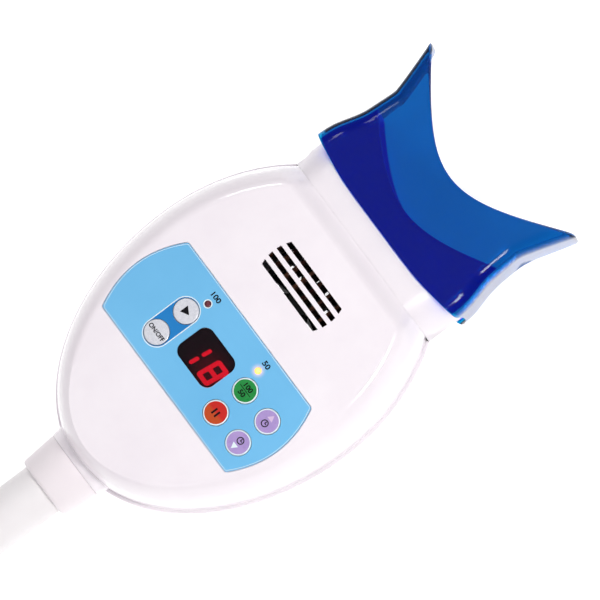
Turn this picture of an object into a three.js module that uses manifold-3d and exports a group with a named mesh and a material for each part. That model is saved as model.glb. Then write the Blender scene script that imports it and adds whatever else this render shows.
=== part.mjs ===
// Teeth whitening lamp: an egg-shaped head with a light shield, on the end of its arm tube.
// Millimetres, +Z up, +X from the arm towards the shield. The origin is the arm's end face.
import * as THREE from "three";
import { mergeVertices } from "three/addons/utils/BufferGeometryUtils.js";
import Module from "manifold-3d";

const wasm = await Module();
wasm.setup();

// Clearances shared by all the pieces, and how far a cutting tool runs past what it cuts.
const fit = 0.3;
const overrun = 3;

// Corners closer together than this are one.
const weld = 0.0001;

// Counts of facets.
const outlineFacets = 40;
const sideLevels = 4;
const roundFacets = 24;
const smallFacets = 12;
const keyFacets = 16;
const domeFacets = 6;
const filletFacets = 3;
const panelFacets = 10;

// Head: x is counted from its widest section, z from the axis of the arm.
const head = {
  rearReach: 100,
  frontReach: 89.6,
  halfWidth: 70,
  wall: 2.5,
  partingZ: -8,
  topZ: 33,
  bottomZ: -30,
  sideRim: 12,
  rearRim: 6,
  mouthX: 61.8,
  mouthTopZ: 28.5,
  mouthBottomZ: -28,
  slopeLength: 9.3,
};
const capShares = [0.8, 0.66, 0.4];
const squarenessShare = 0.8;
const bisections = 32;
const creaseAngle = THREE.MathUtils.degToRad(82);

// Tongue of the lower shell, which stands inside the upper one.
const tongue = { height: 2, depth: 4, wall: 1.2 };

// Front band with the spigot that takes the shield.
const band = {
  length: 11.1,
  sideLead: 8,
  wall: 2.6,
  tail: 5.5,
  spigotLength: 7,
  ledge: 2,
  ledgeReach: 3.2,
};
const sideLeadPower = 4;

// Light shield: a flared sleeve whose upper wall reaches further than its lower one.
// Its reaches are counted from the band's rear end.
const shield = {
  wall: 2,
  waistReach: 54.9,
  waistTaper: 2.8,
  tipReach: 82.9,
  tipFlare: 9.6,
  tipRise: 1.5,
  upperEdgeReach: 51.5,
  upperEdgeRadius: 30,
  lowerEdgeReach: 23.4,
  lowerEdgeRadius: 30,
  sweepTopZ: 4,
};
const flarePower = 1.5;
const upperEdgeSlopeShare = 0.9;
const lowerEdgeSlopeShare = 0.77;
const shieldStations = 9;
const edgeColumns = 16;
const edgeRows = 8;

// Clear cover in front of the light source.
const lens = { thickness: 2.5 };

// Control panel on top of the head. What it holds is placed from its middle.
const panel = {
  x: -23.25,
  width: 48.5,
  cornerY: 46.8,
  endY: 53.4,
  thickness: 0.8,
};
const windowPane = { setback: 0.3, width: 19.1, length: 24.1, corner: 4.5, lip: 1.2, lipThickness: 0.9 };
const displayBlock = { rim: 1.5, corner: 1 };
const domeShoulderShare = 0.25;
const key = {
  radius: 5.85,
  rise: 0.7,
  dome: 0.5,
  travel: 0.6,
  flange: 0.95,
  flangeThickness: 0.9,
  stemRadius: 1.6,
  stemLength: 2.4,
};
const keyOffsets = {
  key_on_off: [-11.4, 22.7],
  key_start: [4.9, 22.3],
  key_high_low: [4.9, -22.7],
  key_pause: [-11.7, -22.7],
  key_time_up: [4.6, -39.9],
  key_time_down: [-11.7, -39.7],
};
const indicator = { radius: 1.5, collar: 0.5, collarHeight: 1, rise: 0.6, round: 0.75 };
const indicatorOffsets = { indicator_high: [14.8, 19.1], indicator_low: [14.9, -18.9] };

// Vent slots over the heat sink.
const vent = { x: 30.3, pitch: 4.86, slot: 2.2, halfLength: 20.7, outerHalfLength: 19.6 };
const ventSlots = 4;

// Circuit board behind the panel: its edges lie beyond the outermost keys.
const board = {
  rearMargin: 12,
  frontMargin: 17.4,
  leftMargin: 13.3,
  rightMargin: 7.1,
  thickness: 1.6,
  corner: 2,
  postRadius: 3,
  screwInset: 4,
};
const switchBody = { side: 6.2, height: 3.4, plungerRadius: 1.7, plungerHeight: 0.9 };

// Screws: shank and head radii, head height, and the length of each kind.
const screw = { shank: 1.3, head: 2.6, headHeight: 1.7, recess: 0.8 };
const housingScrew = {
  length: 20,
  headDepth: 11,
  boss: 4.6,
  rearInset: 26,
  rearSpread: 24,
  frontX: 28,
  cableRoom: 2.6,
};
const boardScrewLength = 7;

// Light source: the heat sink, the board with its emitters and the reflector.
const sink = { base: 4, finLength: 21, finThickness: 1.4, margin: 1, fanGap: 1.3, topRoom: 8.5 };
const finCount = 12;
const emitterBoard = { thickness: 1.6, margin: 1 };
const emitter = { side: 3.6, height: 1, domeRadius: 1.5, domeHeight: 1.2 };
const emitterRows = 3;
const emitterColumns = 8;
const emitterRowShare = 0.63;
const emitterColumnShare = 0.84;
const reflector = { wall: 1.2, depth: 11.5, flare: 2.5, sideRoom: 7.3, heightRoom: 5.85 };
const saddle = { width: 9, length: 6 };

// Fan under the heat sink.
const fan = {
  setback: 18,
  side: 40,
  height: 10,
  corner: 3,
  boreRadius: 18.6,
  hubRadius: 8.5,
  hubPlate: 1.6,
  strut: 2.4,
  pinRadius: 1.3,
  holeInset: 4,
  tipGap: 0.7,
  bladeThickness: 1,
  postRadius: 1.5,
  padRadius: 3,
  padHeight: 0.3,
  postHeight: 6,
};
const bladeCount = 7;
const bladePitch = THREE.MathUtils.degToRad(38);
const inlet = { slot: 2.4, pitch: 5.4, radius: 17 };
const inletSlots = 6;

// Power board at the rear of the head. What stands on it is placed from its middle.
const driver = {
  rearGap: 32,
  width: 56,
  halfLength: 27,
  topZ: -12,
  thickness: 1.6,
  corner: 2,
  postRadius: 3,
  postInset: 5,
};
const transformer = { ahead: 13, y: 4, side: 17, height: 13, corner: 1.5 };
const capacitor = { ahead: 16, y: -14.8, pitch: 9.6, radius: 4, height: 14 };
const buzzer = { behind: 7, y: -15, radius: 6, height: 7, port: 1.2, portDepth: 2 };
const terminal = { overhang: 2, width: 12, halfLength: 8, topZ: 6, entryDepth: 6 };
const ribbon = { setback: 3, y: 20, width: 14, thickness: 1, fold: 2 };

// Arm end: tube, spindle, bush and collar on one axis. armReach is what shows of the arm behind the head.
const armReach = 76;
const tube = { radius: 12.6, wall: 1.5, headGap: 9 };
const collar = {
  length: 19,
  rearRadius: 15.2,
  frontRadius: 16.5,
  edge: 1,
  bury: 4,
  neckRadius: 11.3,
  flangeRadius: 14.5,
  flangeThickness: 3,
  flangeRoom: 6,
  seatInset: 7,
  bossRadius: 17.5,
};
const spindle = { plugLength: 25, journalRadius: 8, boreRadius: 4.2 };
const bush = { wall: 1.6, flange: 1.7 };
const washer = { radius: 12.5, thickness: 1 };
const nut = { radius: 12, thickness: 6 };
const nutSides = 6;
const lead = { radius: 3, insertion: 4 };
const coupling = {
  length: 14,
  rim: 5.9,
  plugLength: 12,
  radius: 18,
  edge: 1,
  holeRadius: 1.7,
  holeCircle: 14.2,
};
const couplingHoles = 4;

// Cable from the power board to the light source.
const wire = { radius: 1.6, straight: 6.4 };
const wireFacets = 8;
const wireSteps = 12;

// Planes that follow from the sizes above.
const panelFloorZ = head.topZ - panel.thickness;
const panelTopZ = head.topZ + fit;
const ceilingZ = head.topZ - head.wall;
const floorZ = head.bottomZ + head.wall;
const seamZ = head.partingZ - fit;
const windowX = panel.x - windowPane.setback;
const keyFlangeTopZ = ceilingZ - fit;
const stemZ = keyFlangeTopZ - key.flangeThickness - key.stemLength;
const switchTopZ = stemZ - key.travel - fit;
const boardTopZ = switchTopZ - switchBody.plungerHeight - switchBody.height - fit;
const boardZ = boardTopZ - board.thickness;
const padTopZ = floorZ + fan.padHeight;
const fanZ = padTopZ + fit;
const slopeStartX = head.mouthX - head.slopeLength;
const shieldRearHalfHeight = (head.mouthTopZ - head.mouthBottomZ) / 2;
const mouthMidZ = (head.mouthTopZ + head.mouthBottomZ) / 2;
const mouthHalfWidth = mouthPoint(0, 1).y;
const bandX = head.mouthX + fit;
const ledgeX = head.mouthX + band.ledgeReach;
const waistX = bandX + shield.waistReach;
const waistHalfWidth = mouthHalfWidth - shield.waistTaper;
const tipX = bandX + shield.tipReach;
const tipHalfWidth = waistHalfWidth + shield.tipFlare;

// Bore of the band, and the light source that stands behind it.
const spigotStep = shield.wall + fit;
const boreInset = spigotStep + band.wall;
const throatInset = boreInset + band.ledge;
const reflectorX = ledgeX - fit - reflector.depth;
const reflectorHalfWidth = mouthHalfWidth - throatInset - reflector.sideRoom;
const reflectorHalfHeight = shieldRearHalfHeight - throatInset - reflector.heightRoom;
const emitterBoardX = reflectorX - fit - emitterBoard.thickness;
const emitterBoardHalfWidth = reflectorHalfWidth - reflector.flare + emitterBoard.margin;
const emitterBoardHalfHeight = reflectorHalfHeight - reflector.flare + emitterBoard.margin;
const sinkFrontX = emitterBoardX - fit;
const sinkX = sinkFrontX - sink.base;
const sinkHalfWidth = emitterBoardHalfWidth + sink.margin;
const sinkBottomZ = fanZ + fan.height + sink.fanGap;
const sinkTopZ = ceilingZ - sink.topRoom;
const fanX = sinkX - fan.setback;

// Arm end, counted from the rear end of the head.
const headX = head.rearReach + armReach;
const tubeFrontX = -head.rearReach - tube.headGap;
const collarRearX = -head.rearReach - collar.length;
const collarWebX = tubeFrontX + fit + bush.flange + fit;
const seatX = collar.seatInset - head.rearReach;

// Panel, boards and their screws.
const keyPlaces = onPanel(keyOffsets);
const indicatorPlaces = onPanel(indicatorOffsets);
const keyRowX = Object.values(keyPlaces).map(([x]) => x);
const keyRowY = Object.values(keyPlaces).map(([, y]) => y);
const boardRearX = Math.min(...keyRowX) - board.rearMargin;
const boardFrontX = Math.max(...keyRowX) + board.frontMargin;
const boardRightY = Math.min(...keyRowY) - board.rightMargin;
const boardLeftY = Math.max(...keyRowY) + board.leftMargin;
const pauseGapY = (keyPlaces.key_pause[1] + keyPlaces.key_time_down[1]) / 2;
const boardScrewPlaces = {
  board_screw_rear_left: [boardRearX + board.screwInset, boardLeftY - board.screwInset],
  board_screw_front_left: [boardFrontX - board.screwInset, boardLeftY - board.screwInset],
  board_screw_rear_right: [boardRearX + board.screwInset, pauseGapY],
  board_screw_front_right: [boardFrontX - board.screwInset, boardRightY + board.screwInset],
};
const screwRearX = housingScrew.rearInset - head.rearReach;
const cableY = sinkHalfWidth + 2 * wire.radius;
const screwSideY = cableY + wire.radius + housingScrew.cableRoom + housingScrew.boss;
const housingScrewPlaces = {
  housing_screw_rear_left: [screwRearX, housingScrew.rearSpread],
  housing_screw_rear_right: [screwRearX, -housingScrew.rearSpread],
  housing_screw_front_left: [housingScrew.frontX, screwSideY],
  housing_screw_front_right: [housingScrew.frontX, -screwSideY],
};
const driverRearX = driver.rearGap - head.rearReach;
const driverX = driverRearX + driver.width / 2;
const terminalRearX = driverRearX - terminal.overhang;
const ribbonX = boardRearX - ribbon.setback;

const materials = {
  shell: plastic(0xf6f3f7, 0.22),
  band: plastic(0xe9e6ee, 0.28),
  collar: plastic(0xefe6e9, 0.35),
  tube: plastic(0xefeaec, 0.38),
  panel: plastic(0x6cc0ee, 0.4),
  black: plastic(0x141013, 0.35),
  silver: plastic(0xd7dae4, 0.35),
  green: plastic(0x23964b, 0.4),
  red: plastic(0xd72d28, 0.4),
  lavender: plastic(0xaf96cd, 0.4),
  amber: plastic(0xffc93a, 0.3),
  darkRed: plastic(0x5a1c22, 0.3),
  nylon: plastic(0xe8e4d8, 0.5),
  boardGreen: plastic(0x1f6b43, 0.55),
  fanBlack: plastic(0x1c1c1f, 0.5),
  grey: plastic(0x8c8f96, 0.5),
  steel: metal(0xb9bcc2, 0.35),
  aluminium: metal(0xc3c7cc, 0.4),
  brass: metal(0xc9a24f, 0.35),
  mirror: metal(0xe6e9ee, 0.12),
  shieldBlue: clear(0x1040b0, 0.75),
  lensClear: clear(0xe8f2ff, 0.4),
};

function plastic(color, roughness) {
  return new THREE.MeshStandardMaterial({ color, roughness, metalness: 0 });
}

function metal(color, roughness) {
  return new THREE.MeshStandardMaterial({ color, roughness, metalness: 1 });
}

function clear(color, opacity) {
  return new THREE.MeshStandardMaterial({ color, roughness: 0.08, metalness: 0, transparent: true, opacity });
}

// A solid from a closed geometry: shared corners joined, faces turned outwards.
function solidOf(geometry) {
  const bare = geometry.clone();
  bare.deleteAttribute("normal");
  bare.deleteAttribute("uv");
  const merged = mergeVertices(bare, weld);
  const places = merged.attributes.position;
  const corners = [];
  for (let i = 0; i < merged.index.count; i += 3) {
    const [a, b, c] = [0, 1, 2].map((k) => merged.index.getX(i + k));
    if (a !== b && b !== c && c !== a) corners.push(a, b, c);
  }
  if (signedVolume(places, corners) < 0) corners.reverse();
  const vertProperties = Float32Array.from(places.array);
  const triVerts = Uint32Array.from(corners);
  return new wasm.Manifold(new wasm.Mesh({ numProp: 3, vertProperties, triVerts }));
}

function signedVolume(places, corners) {
  const [a, b, c] = [new THREE.Vector3(), new THREE.Vector3(), new THREE.Vector3()];
  let sum = 0;
  for (let i = 0; i < corners.length; i += 3) {
    a.fromBufferAttribute(places, corners[i]);
    b.fromBufferAttribute(places, corners[i + 1]);
    c.fromBufferAttribute(places, corners[i + 2]);
    sum += a.dot(b.cross(c));
  }
  return sum;
}

// A named mesh from a solid.
function piece(name, solid, material) {
  const mesh = solid.getMesh();
  const geometry = new THREE.BufferGeometry();
  geometry.setAttribute("position", new THREE.BufferAttribute(mesh.vertProperties, 3));
  geometry.setIndex(new THREE.BufferAttribute(mesh.triVerts, 1));
  geometry.computeVertexNormals();
  const made = new THREE.Mesh(geometry, material);
  made.name = name;
  return made;
}

// Basic solids, each between two named planes.
function box(fromX, toX, fromY, toY, fromZ, toZ) {
  const geometry = new THREE.BoxGeometry(toX - fromX, toY - fromY, toZ - fromZ);
  geometry.translate((fromX + toX) / 2, (fromY + toY) / 2, (fromZ + toZ) / 2);
  return solidOf(geometry);
}

function discZ(radius, fromZ, toZ, x = 0, y = 0, facets = smallFacets) {
  const geometry = new THREE.CylinderGeometry(radius, radius, toZ - fromZ, facets);
  geometry.rotateX(Math.PI / 2);
  geometry.translate(x, y, (fromZ + toZ) / 2);
  return solidOf(geometry);
}

function discX(radius, fromX, toX, y = 0, z = 0, facets = roundFacets) {
  const geometry = new THREE.CylinderGeometry(radius, radius, toX - fromX, facets);
  geometry.rotateZ(Math.PI / 2);
  geometry.translate((fromX + toX) / 2, y, z);
  return solidOf(geometry);
}

// A shape drawn in plan, raised between two heights.
function slabZ(shape, fromZ, toZ, segments = filletFacets) {
  const geometry = new THREE.ExtrudeGeometry(shape, {
    depth: toZ - fromZ,
    bevelEnabled: false,
    curveSegments: segments,
  });
  geometry.translate(0, 0, fromZ);
  return solidOf(geometry);
}

// A section drawn across the arm's axis, run along it.
function prismX(points, fromX, toX) {
  const geometry = new THREE.ExtrudeGeometry(new THREE.Shape(points), {
    depth: toX - fromX,
    bevelEnabled: false,
  });
  const [x, y, z] = [new THREE.Vector3(1, 0, 0), new THREE.Vector3(0, 1, 0), new THREE.Vector3(0, 0, 1)];
  geometry.applyMatrix4(new THREE.Matrix4().makeBasis(y, z, x));
  geometry.translate(fromX, 0, 0);
  return solidOf(geometry);
}

// A turned solid: the profile is a list of [place along the axis, radius].
function turned(profile, along, facets = roundFacets) {
  const points = profile.map(([place, radius]) => new THREE.Vector2(radius, place));
  if (profile[0][1] > 0) points.push(points[0].clone());
  const geometry = new THREE.LatheGeometry(points, facets);
  if (along === "x") geometry.rotateZ(-Math.PI / 2);
  if (along === "z") geometry.rotateX(Math.PI / 2);
  return solidOf(geometry);
}

function roundedRectangle(x, y, width, length, corner) {
  const shape = new THREE.Shape();
  const [left, right, low, high] = [x - width / 2, x + width / 2, y - length / 2, y + length / 2];
  shape.moveTo(left + corner, low);
  shape.lineTo(right - corner, low);
  shape.absarc(right - corner, low + corner, corner, -Math.PI / 2, 0);
  shape.lineTo(right, high - corner);
  shape.absarc(right - corner, high - corner, corner, 0, Math.PI / 2);
  shape.lineTo(left + corner, high);
  shape.absarc(left + corner, high - corner, corner, Math.PI / 2, Math.PI);
  shape.lineTo(left, low + corner);
  shape.absarc(left + corner, low + corner, corner, Math.PI, 1.5 * Math.PI);
  return shape;
}

// The head's outline in plan: a half ellipse behind the widest section, another before it.
function outlineAt(angle, inset) {
  const reach = Math.cos(angle) < 0 ? head.rearReach : head.frontReach;
  const outward = new THREE.Vector2(Math.cos(angle) / reach, Math.sin(angle) / head.halfWidth);
  outward.normalize();
  const place = new THREE.Vector2(reach * Math.cos(angle), head.halfWidth * Math.sin(angle));
  return place.addScaledVector(outward, -inset);
}

function rimAt(angle) {
  const rearShare = Math.max(0, -Math.cos(angle)) ** 2;
  return THREE.MathUtils.lerp(head.sideRim, head.rearRim, rearShare);
}

// Height of the crown above the parting plane, or depth of the belly below it.
function riseAt(x, side) {
  const near = side > 0 ? head.topZ : head.bottomZ;
  const far = side > 0 ? head.mouthTopZ : head.mouthBottomZ;
  const share = THREE.MathUtils.smoothstep(x, slopeStartX, head.mouthX);
  return Math.abs(THREE.MathUtils.lerp(near, far, share) - head.partingZ);
}

function levelShares(level) {
  const angle = (creaseAngle * level) / sideLevels;
  return {
    insetShare: (1 - Math.cos(angle) ** squarenessShare) / (1 - Math.cos(creaseAngle) ** squarenessShare),
    riseShare: (Math.sin(angle) / Math.sin(creaseAngle)) ** squarenessShare,
  };
}

function sidePoint(angle, level, side, inset) {
  const { insetShare, riseShare } = levelShares(level);
  const place = outlineAt(angle, inset + rimAt(angle) * insetShare);
  const rise = (riseAt(place.x, side) - inset) * riseShare;
  return new THREE.Vector3(place.x, place.y, head.partingZ + side * rise);
}

// One half of the egg, closed at the parting plane. skirt carries its edge past that plane.
function halfEgg(side, inset, skirt = 0) {
  const rings = [];
  const angles = Array.from({ length: outlineFacets }, (_, i) => (2 * Math.PI * i) / outlineFacets);
  const start = angles.map((angle) => sidePoint(angle, 0, side, inset));
  if (skirt > 0) rings.push(start.map((p) => new THREE.Vector3(p.x, p.y, p.z - side * skirt)));
  for (let level = 0; level <= sideLevels; level++) {
    rings.push(angles.map((angle) => sidePoint(angle, level, side, inset)));
  }
  const crease = rings[rings.length - 1];
  const capPoint = (x, y) => new THREE.Vector3(x, y, head.partingZ + side * (riseAt(x, side) - inset));
  for (const share of capShares) rings.push(crease.map((p) => capPoint(p.x * share, p.y * share)));
  const base = new THREE.Vector3(0, 0, rings[0][0].z);
  return solidOf(ringGeometry(rings, base, capPoint(0, 0)));
}

// A closed geometry from rings of points, with a centre point at each end.
function ringGeometry(rings, firstCentre, lastCentre) {
  const count = rings[0].length;
  const points = [...rings.flat(), firstCentre, lastCentre];
  const corners = [];
  const [first, last] = [points.length - 2, points.length - 1];
  for (let i = 0; i < count; i++) {
    const next = (i + 1) % count;
    for (let ring = 0; ring < rings.length - 1; ring++) {
      const [low, high] = [ring * count, (ring + 1) * count];
      corners.push(low + i, low + next, high + next, low + i, high + next, high + i);
    }
    const top = (rings.length - 1) * count;
    corners.push(first, next, i, last, top + i, top + next);
  }
  const geometry = new THREE.BufferGeometry().setFromPoints(points);
  geometry.setIndex(corners);
  return geometry;
}

// The head's outline as an upright prism.
function outlinePrism(inset, fromZ, toZ) {
  const points = [];
  for (let i = 0; i < outlineFacets; i++) points.push(outlineAt((2 * Math.PI * i) / outlineFacets, inset));
  return slabZ(new THREE.Shape(points), fromZ, toZ);
}

// The head's section at its mouth, found level by level. shrink draws it in on all sides.
function mouthSection(shrink) {
  const upper = mouthLevels(1, shrink);
  const lower = mouthLevels(-1, shrink).slice(1);
  const mirrored = (points) => points.map((p) => new THREE.Vector2(-p.x, p.y));
  return [...upper, ...mirrored(upper).reverse(), ...mirrored(lower), ...lower.reverse()];
}

function mouthLevels(side, shrink) {
  const points = [];
  const wide = mouthPoint(0, side).y;
  for (let level = 0; level <= sideLevels; level++) {
    const p = mouthPoint(level, side);
    const y = (p.y * (wide - shrink)) / wide;
    const z = mouthMidZ + ((p.z - mouthMidZ) * (shieldRearHalfHeight - shrink)) / shieldRearHalfHeight;
    points.push(new THREE.Vector2(y, z));
  }
  return points;
}

function mouthPoint(level, side) {
  let [low, high] = [0, Math.PI / 2];
  for (let i = 0; i < bisections; i++) {
    const middle = (low + high) / 2;
    if (sidePoint(middle, level, side, 0).x > head.mouthX) low = middle;
    else high = middle;
  }
  return sidePoint(low, level, side, 0);
}

// Where the band ends and the shield begins, in plan: further forward at the sides.
function bandFrontAt(y) {
  return bandX + band.length + band.sideLead * Math.min(Math.abs(y) / mouthHalfWidth, 1) ** sideLeadPower;
}

// A solid that fills all that lies before the surface x = frontAt(y, z).
function aheadOf(frontAt, halfWidth, lowZ, highZ, farX) {
  const rings = [];
  for (let row = 0; row <= edgeRows; row++) {
    const z = THREE.MathUtils.lerp(lowZ, highZ, row / edgeRows);
    const ring = [];
    for (let column = 0; column <= edgeColumns; column++) {
      const y = THREE.MathUtils.lerp(halfWidth, -halfWidth, column / edgeColumns);
      ring.push(new THREE.Vector3(frontAt(y, z), y, z));
    }
    ring.push(new THREE.Vector3(farX, -halfWidth, z), new THREE.Vector3(farX, halfWidth, z));
    rings.push(ring);
  }
  const centre = (z) => new THREE.Vector3(farX, 0, z);
  return solidOf(ringGeometry(rings, centre(lowZ), centre(highZ)));
}

function onPanel(offsets) {
  return Object.fromEntries(Object.entries(offsets).map(([name, [x, y]]) => [name, [panel.x + x, y]]));
}

function panelOutline(grow) {
  const shape = new THREE.Shape();
  const half = panel.width / 2 + grow;
  const [cornerY, endY] = [panel.cornerY + grow, panel.endY + grow];
  const bulge = 2 * endY - cornerY;
  shape.moveTo(panel.x - half, -cornerY);
  shape.quadraticCurveTo(panel.x, -bulge, panel.x + half, -cornerY);
  shape.lineTo(panel.x + half, cornerY);
  shape.quadraticCurveTo(panel.x, bulge, panel.x - half, cornerY);
  return shape;
}

function paneOutline(grow) {
  const [width, length] = [windowPane.width + 2 * grow, windowPane.length + 2 * grow];
  return roundedRectangle(windowX, 0, width, length, windowPane.corner + grow);
}

// Vent slots: a row of straight slots, the outer two shorter.
function ventCutter() {
  let cutter = null;
  for (let i = 0; i < ventSlots; i++) {
    const x = vent.x + (i - (ventSlots - 1) / 2) * vent.pitch;
    const outer = i === 0 || i === ventSlots - 1;
    const half = outer ? vent.outerHalfLength : vent.halfLength;
    const [lowZ, highZ] = [ceilingZ - overrun, head.topZ + overrun];
    const slot = box(x - vent.slot / 2, x + vent.slot / 2, -half, half, lowZ, highZ);
    cutter = cutter ? cutter.add(slot) : slot;
  }
  return cutter;
}

function inletCutter() {
  let cutter = null;
  for (let i = 0; i < inletSlots; i++) {
    const x = (i - (inletSlots - 1) / 2) * inlet.pitch;
    const half = Math.sqrt(inlet.radius ** 2 - x ** 2);
    const centre = fanX + x;
    const [lowZ, highZ] = [head.bottomZ - overrun, floorZ + overrun];
    const slot = box(centre - inlet.slot / 2, centre + inlet.slot / 2, -half, half, lowZ, highZ);
    cutter = cutter ? cutter.add(slot) : slot;
  }
  return cutter;
}

// Ring round the neck inside both shells, which the collar's flange seats against.
function neckBoss() {
  return discX(collar.bossRadius, -head.rearReach, seatX);
}

function neckHole() {
  return discX(collar.neckRadius + fit, -head.rearReach - overrun, seatX + overrun);
}

function mouthCutter() {
  const reach = head.frontReach + overrun;
  const wide = head.halfWidth + overrun;
  return box(head.mouthX, reach, -wide, wide, head.bottomZ - overrun, head.topZ + overrun);
}

function upperHousing() {
  const egg = halfEgg(1, 0);
  let posts = neckBoss();
  for (const [x, y] of Object.values(housingScrewPlaces)) {
    posts = posts.add(discZ(housingScrew.boss, head.partingZ, head.topZ, x, y));
  }
  for (const [x, y] of Object.values(boardScrewPlaces)) {
    posts = posts.add(discZ(board.postRadius, boardTopZ + fit, panelFloorZ, x, y));
  }
  for (const side of [-1, 1]) {
    const middle = side * (sinkHalfWidth - saddle.width / 2);
    const [low, high] = [middle - saddle.width / 2, middle + saddle.width / 2];
    posts = posts.add(box(sinkFrontX - saddle.length, sinkFrontX, low, high, sinkTopZ + fit, ceilingZ));
  }
  let shell = egg.subtract(halfEgg(1, head.wall, overrun)).add(posts.intersect(egg));
  shell = shell.subtract(mouthCutter()).subtract(neckHole());
  shell = shell.subtract(slabZ(panelOutline(fit), panelFloorZ, head.topZ + overrun, panelFacets));
  shell = shell.subtract(slabZ(paneOutline(fit), ceilingZ - overrun, head.topZ));
  for (const [x, y] of Object.values(keyPlaces)) {
    shell = shell.subtract(discZ(key.radius + fit, ceilingZ - overrun, head.topZ, x, y, keyFacets));
  }
  for (const [x, y] of Object.values(indicatorPlaces)) {
    shell = shell.subtract(discZ(indicator.radius + fit, ceilingZ - overrun, head.topZ, x, y));
  }
  for (const [x, y] of Object.values(housingScrewPlaces)) {
    const tipZ = head.bottomZ + housingScrew.headDepth + housingScrew.length + fit;
    shell = shell.subtract(discZ(screw.shank + fit, head.partingZ - overrun, tipZ, x, y));
  }
  for (const [x, y] of Object.values(boardScrewPlaces)) {
    const tipZ = boardZ + boardScrewLength;
    shell = shell.subtract(discZ(screw.shank + fit, boardTopZ - overrun, tipZ, x, y));
  }
  return piece("upper_housing", shell.subtract(ventCutter()), materials.shell);
}

// Locating tongue: a foot joined to the lower wall and a thin rib that enters the upper shell.
function lowerTongue() {
  const inner = head.wall + fit + tongue.wall;
  const footZ = head.partingZ - tongue.depth;
  const ribZ = head.partingZ + tongue.height;
  const foot = outlinePrism(head.wall / 2, footZ, seamZ);
  const rib = outlinePrism(head.wall + fit, footZ, ribZ);
  return foot.add(rib).subtract(outlinePrism(inner, footZ - overrun, ribZ + overrun));
}

function lowerHousing() {
  const egg = halfEgg(-1, 0);
  let posts = neckBoss();
  for (const [x, y] of Object.values(housingScrewPlaces)) {
    posts = posts.add(discZ(housingScrew.boss, head.bottomZ, seamZ, x, y));
  }
  for (const [x, y] of driverPostPlaces()) {
    posts = posts.add(discZ(driver.postRadius, head.bottomZ, driver.topZ - driver.thickness - fit, x, y));
  }
  for (const [x, y] of fanHolePlaces()) {
    posts = posts.add(discZ(fan.postRadius, head.bottomZ, floorZ + fan.postHeight, x, y));
    posts = posts.add(discZ(fan.padRadius, head.bottomZ, padTopZ, x, y));
  }
  for (const side of [-1, 1]) {
    const middle = side * (sinkHalfWidth - saddle.width / 2);
    const [low, high] = [middle - saddle.width / 2, middle + saddle.width / 2];
    posts = posts.add(box(sinkX, sinkFrontX, low, high, head.bottomZ, sinkBottomZ - fit));
  }
  const wide = head.halfWidth + overrun;
  const aboveSeam = box(-head.rearReach - overrun, head.frontReach + overrun, -wide, wide, seamZ, head.topZ);
  let shell = egg.subtract(halfEgg(-1, head.wall, overrun)).add(posts.intersect(egg));
  shell = shell.subtract(aboveSeam).add(lowerTongue());
  shell = shell.subtract(mouthCutter()).subtract(neckHole());
  shell = shell.subtract(aboveSeam.intersect(mouthZone()));
  shell = shell.subtract(halfEgg(-1, head.wall, overrun).intersect(mouthZone()));
  const roomEndX = seatX + collar.flangeRoom;
  shell = shell.subtract(discX(collar.bossRadius + fit, -head.rearReach, roomEndX).intersect(aboveSeam));
  shell = shell.subtract(discX(collar.flangeRadius + fit, seatX, roomEndX));
  for (const [x, y] of Object.values(housingScrewPlaces)) {
    const headZ = head.bottomZ + housingScrew.headDepth;
    shell = shell.subtract(discZ(screw.head + fit, head.bottomZ - overrun, headZ, x, y));
    shell = shell.subtract(discZ(screw.shank + fit, headZ - overrun, head.topZ, x, y));
  }
  return piece("lower_housing", shell.subtract(inletCutter()), materials.shell);
}

// The stretch of the head that the band's tail enters.
function mouthZone() {
  const wide = head.halfWidth + overrun;
  return box(head.mouthX - band.tail - fit, head.mouthX + overrun, -wide, wide, head.bottomZ, head.topZ);
}

function driverPostPlaces() {
  const [x, y] = [driver.width / 2 - driver.postInset, driver.halfLength - driver.postInset];
  return [[-1, -1], [-1, 1], [1, -1], [1, 1]].map(([i, j]) => [driverX + i * x, j * y]);
}

function fanHolePlaces() {
  const reach = fan.side / 2 - fan.holeInset;
  return [[-1, -1], [-1, 1], [1, -1], [1, 1]].map(([i, j]) => [fanX + i * reach, j * reach]);
}

// Band: an outer ring, a tail that fits inside the shells, and a spigot for the shield.
function nozzleRing() {
  const front = bandX + band.length + band.sideLead + overrun;
  const wide = head.halfWidth;
  let ring = prismX(mouthSection(0), bandX, front);
  ring = ring.subtract(aheadOf(bandFrontAt, wide, head.bottomZ - overrun, head.topZ, front + overrun));
  const spigotEndX = bandX + band.length + band.spigotLength;
  const spigotZone = box(bandX, spigotEndX, -wide, wide, head.bottomZ, head.topZ);
  ring = ring.add(shieldLoft(spigotStep, 0).intersect(spigotZone));
  const inner = head.wall + fit;
  const tail = halfEgg(1, inner, fit).add(halfEgg(-1, inner, fit));
  const zone = box(head.mouthX - band.tail, bandX + fit, -wide, wide, head.bottomZ, head.topZ);
  ring = ring.add(tail.intersect(zone));
  ring = ring.subtract(prismX(mouthSection(boreInset), ledgeX, front + overrun));
  const rearX = head.mouthX - band.tail - overrun;
  ring = ring.subtract(prismX(mouthSection(throatInset), rearX, front + overrun));
  return piece("nozzle_ring", ring, materials.band);
}

function lensCover() {
  const plate = prismX(mouthSection(boreInset + fit), ledgeX + fit, ledgeX + fit + lens.thickness);
  return piece("lens_cover", plate, materials.lensClear);
}

// The shield's half-width and height along its length: a slow taper, then a flare to the tips.
function shieldHalfWidthAt(x) {
  if (x < waistX) return THREE.MathUtils.mapLinear(x, bandX, waistX, mouthHalfWidth, waistHalfWidth);
  const share = (x - waistX) / (tipX - waistX);
  return THREE.MathUtils.lerp(waistHalfWidth, tipHalfWidth, share ** flarePower);
}

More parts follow.
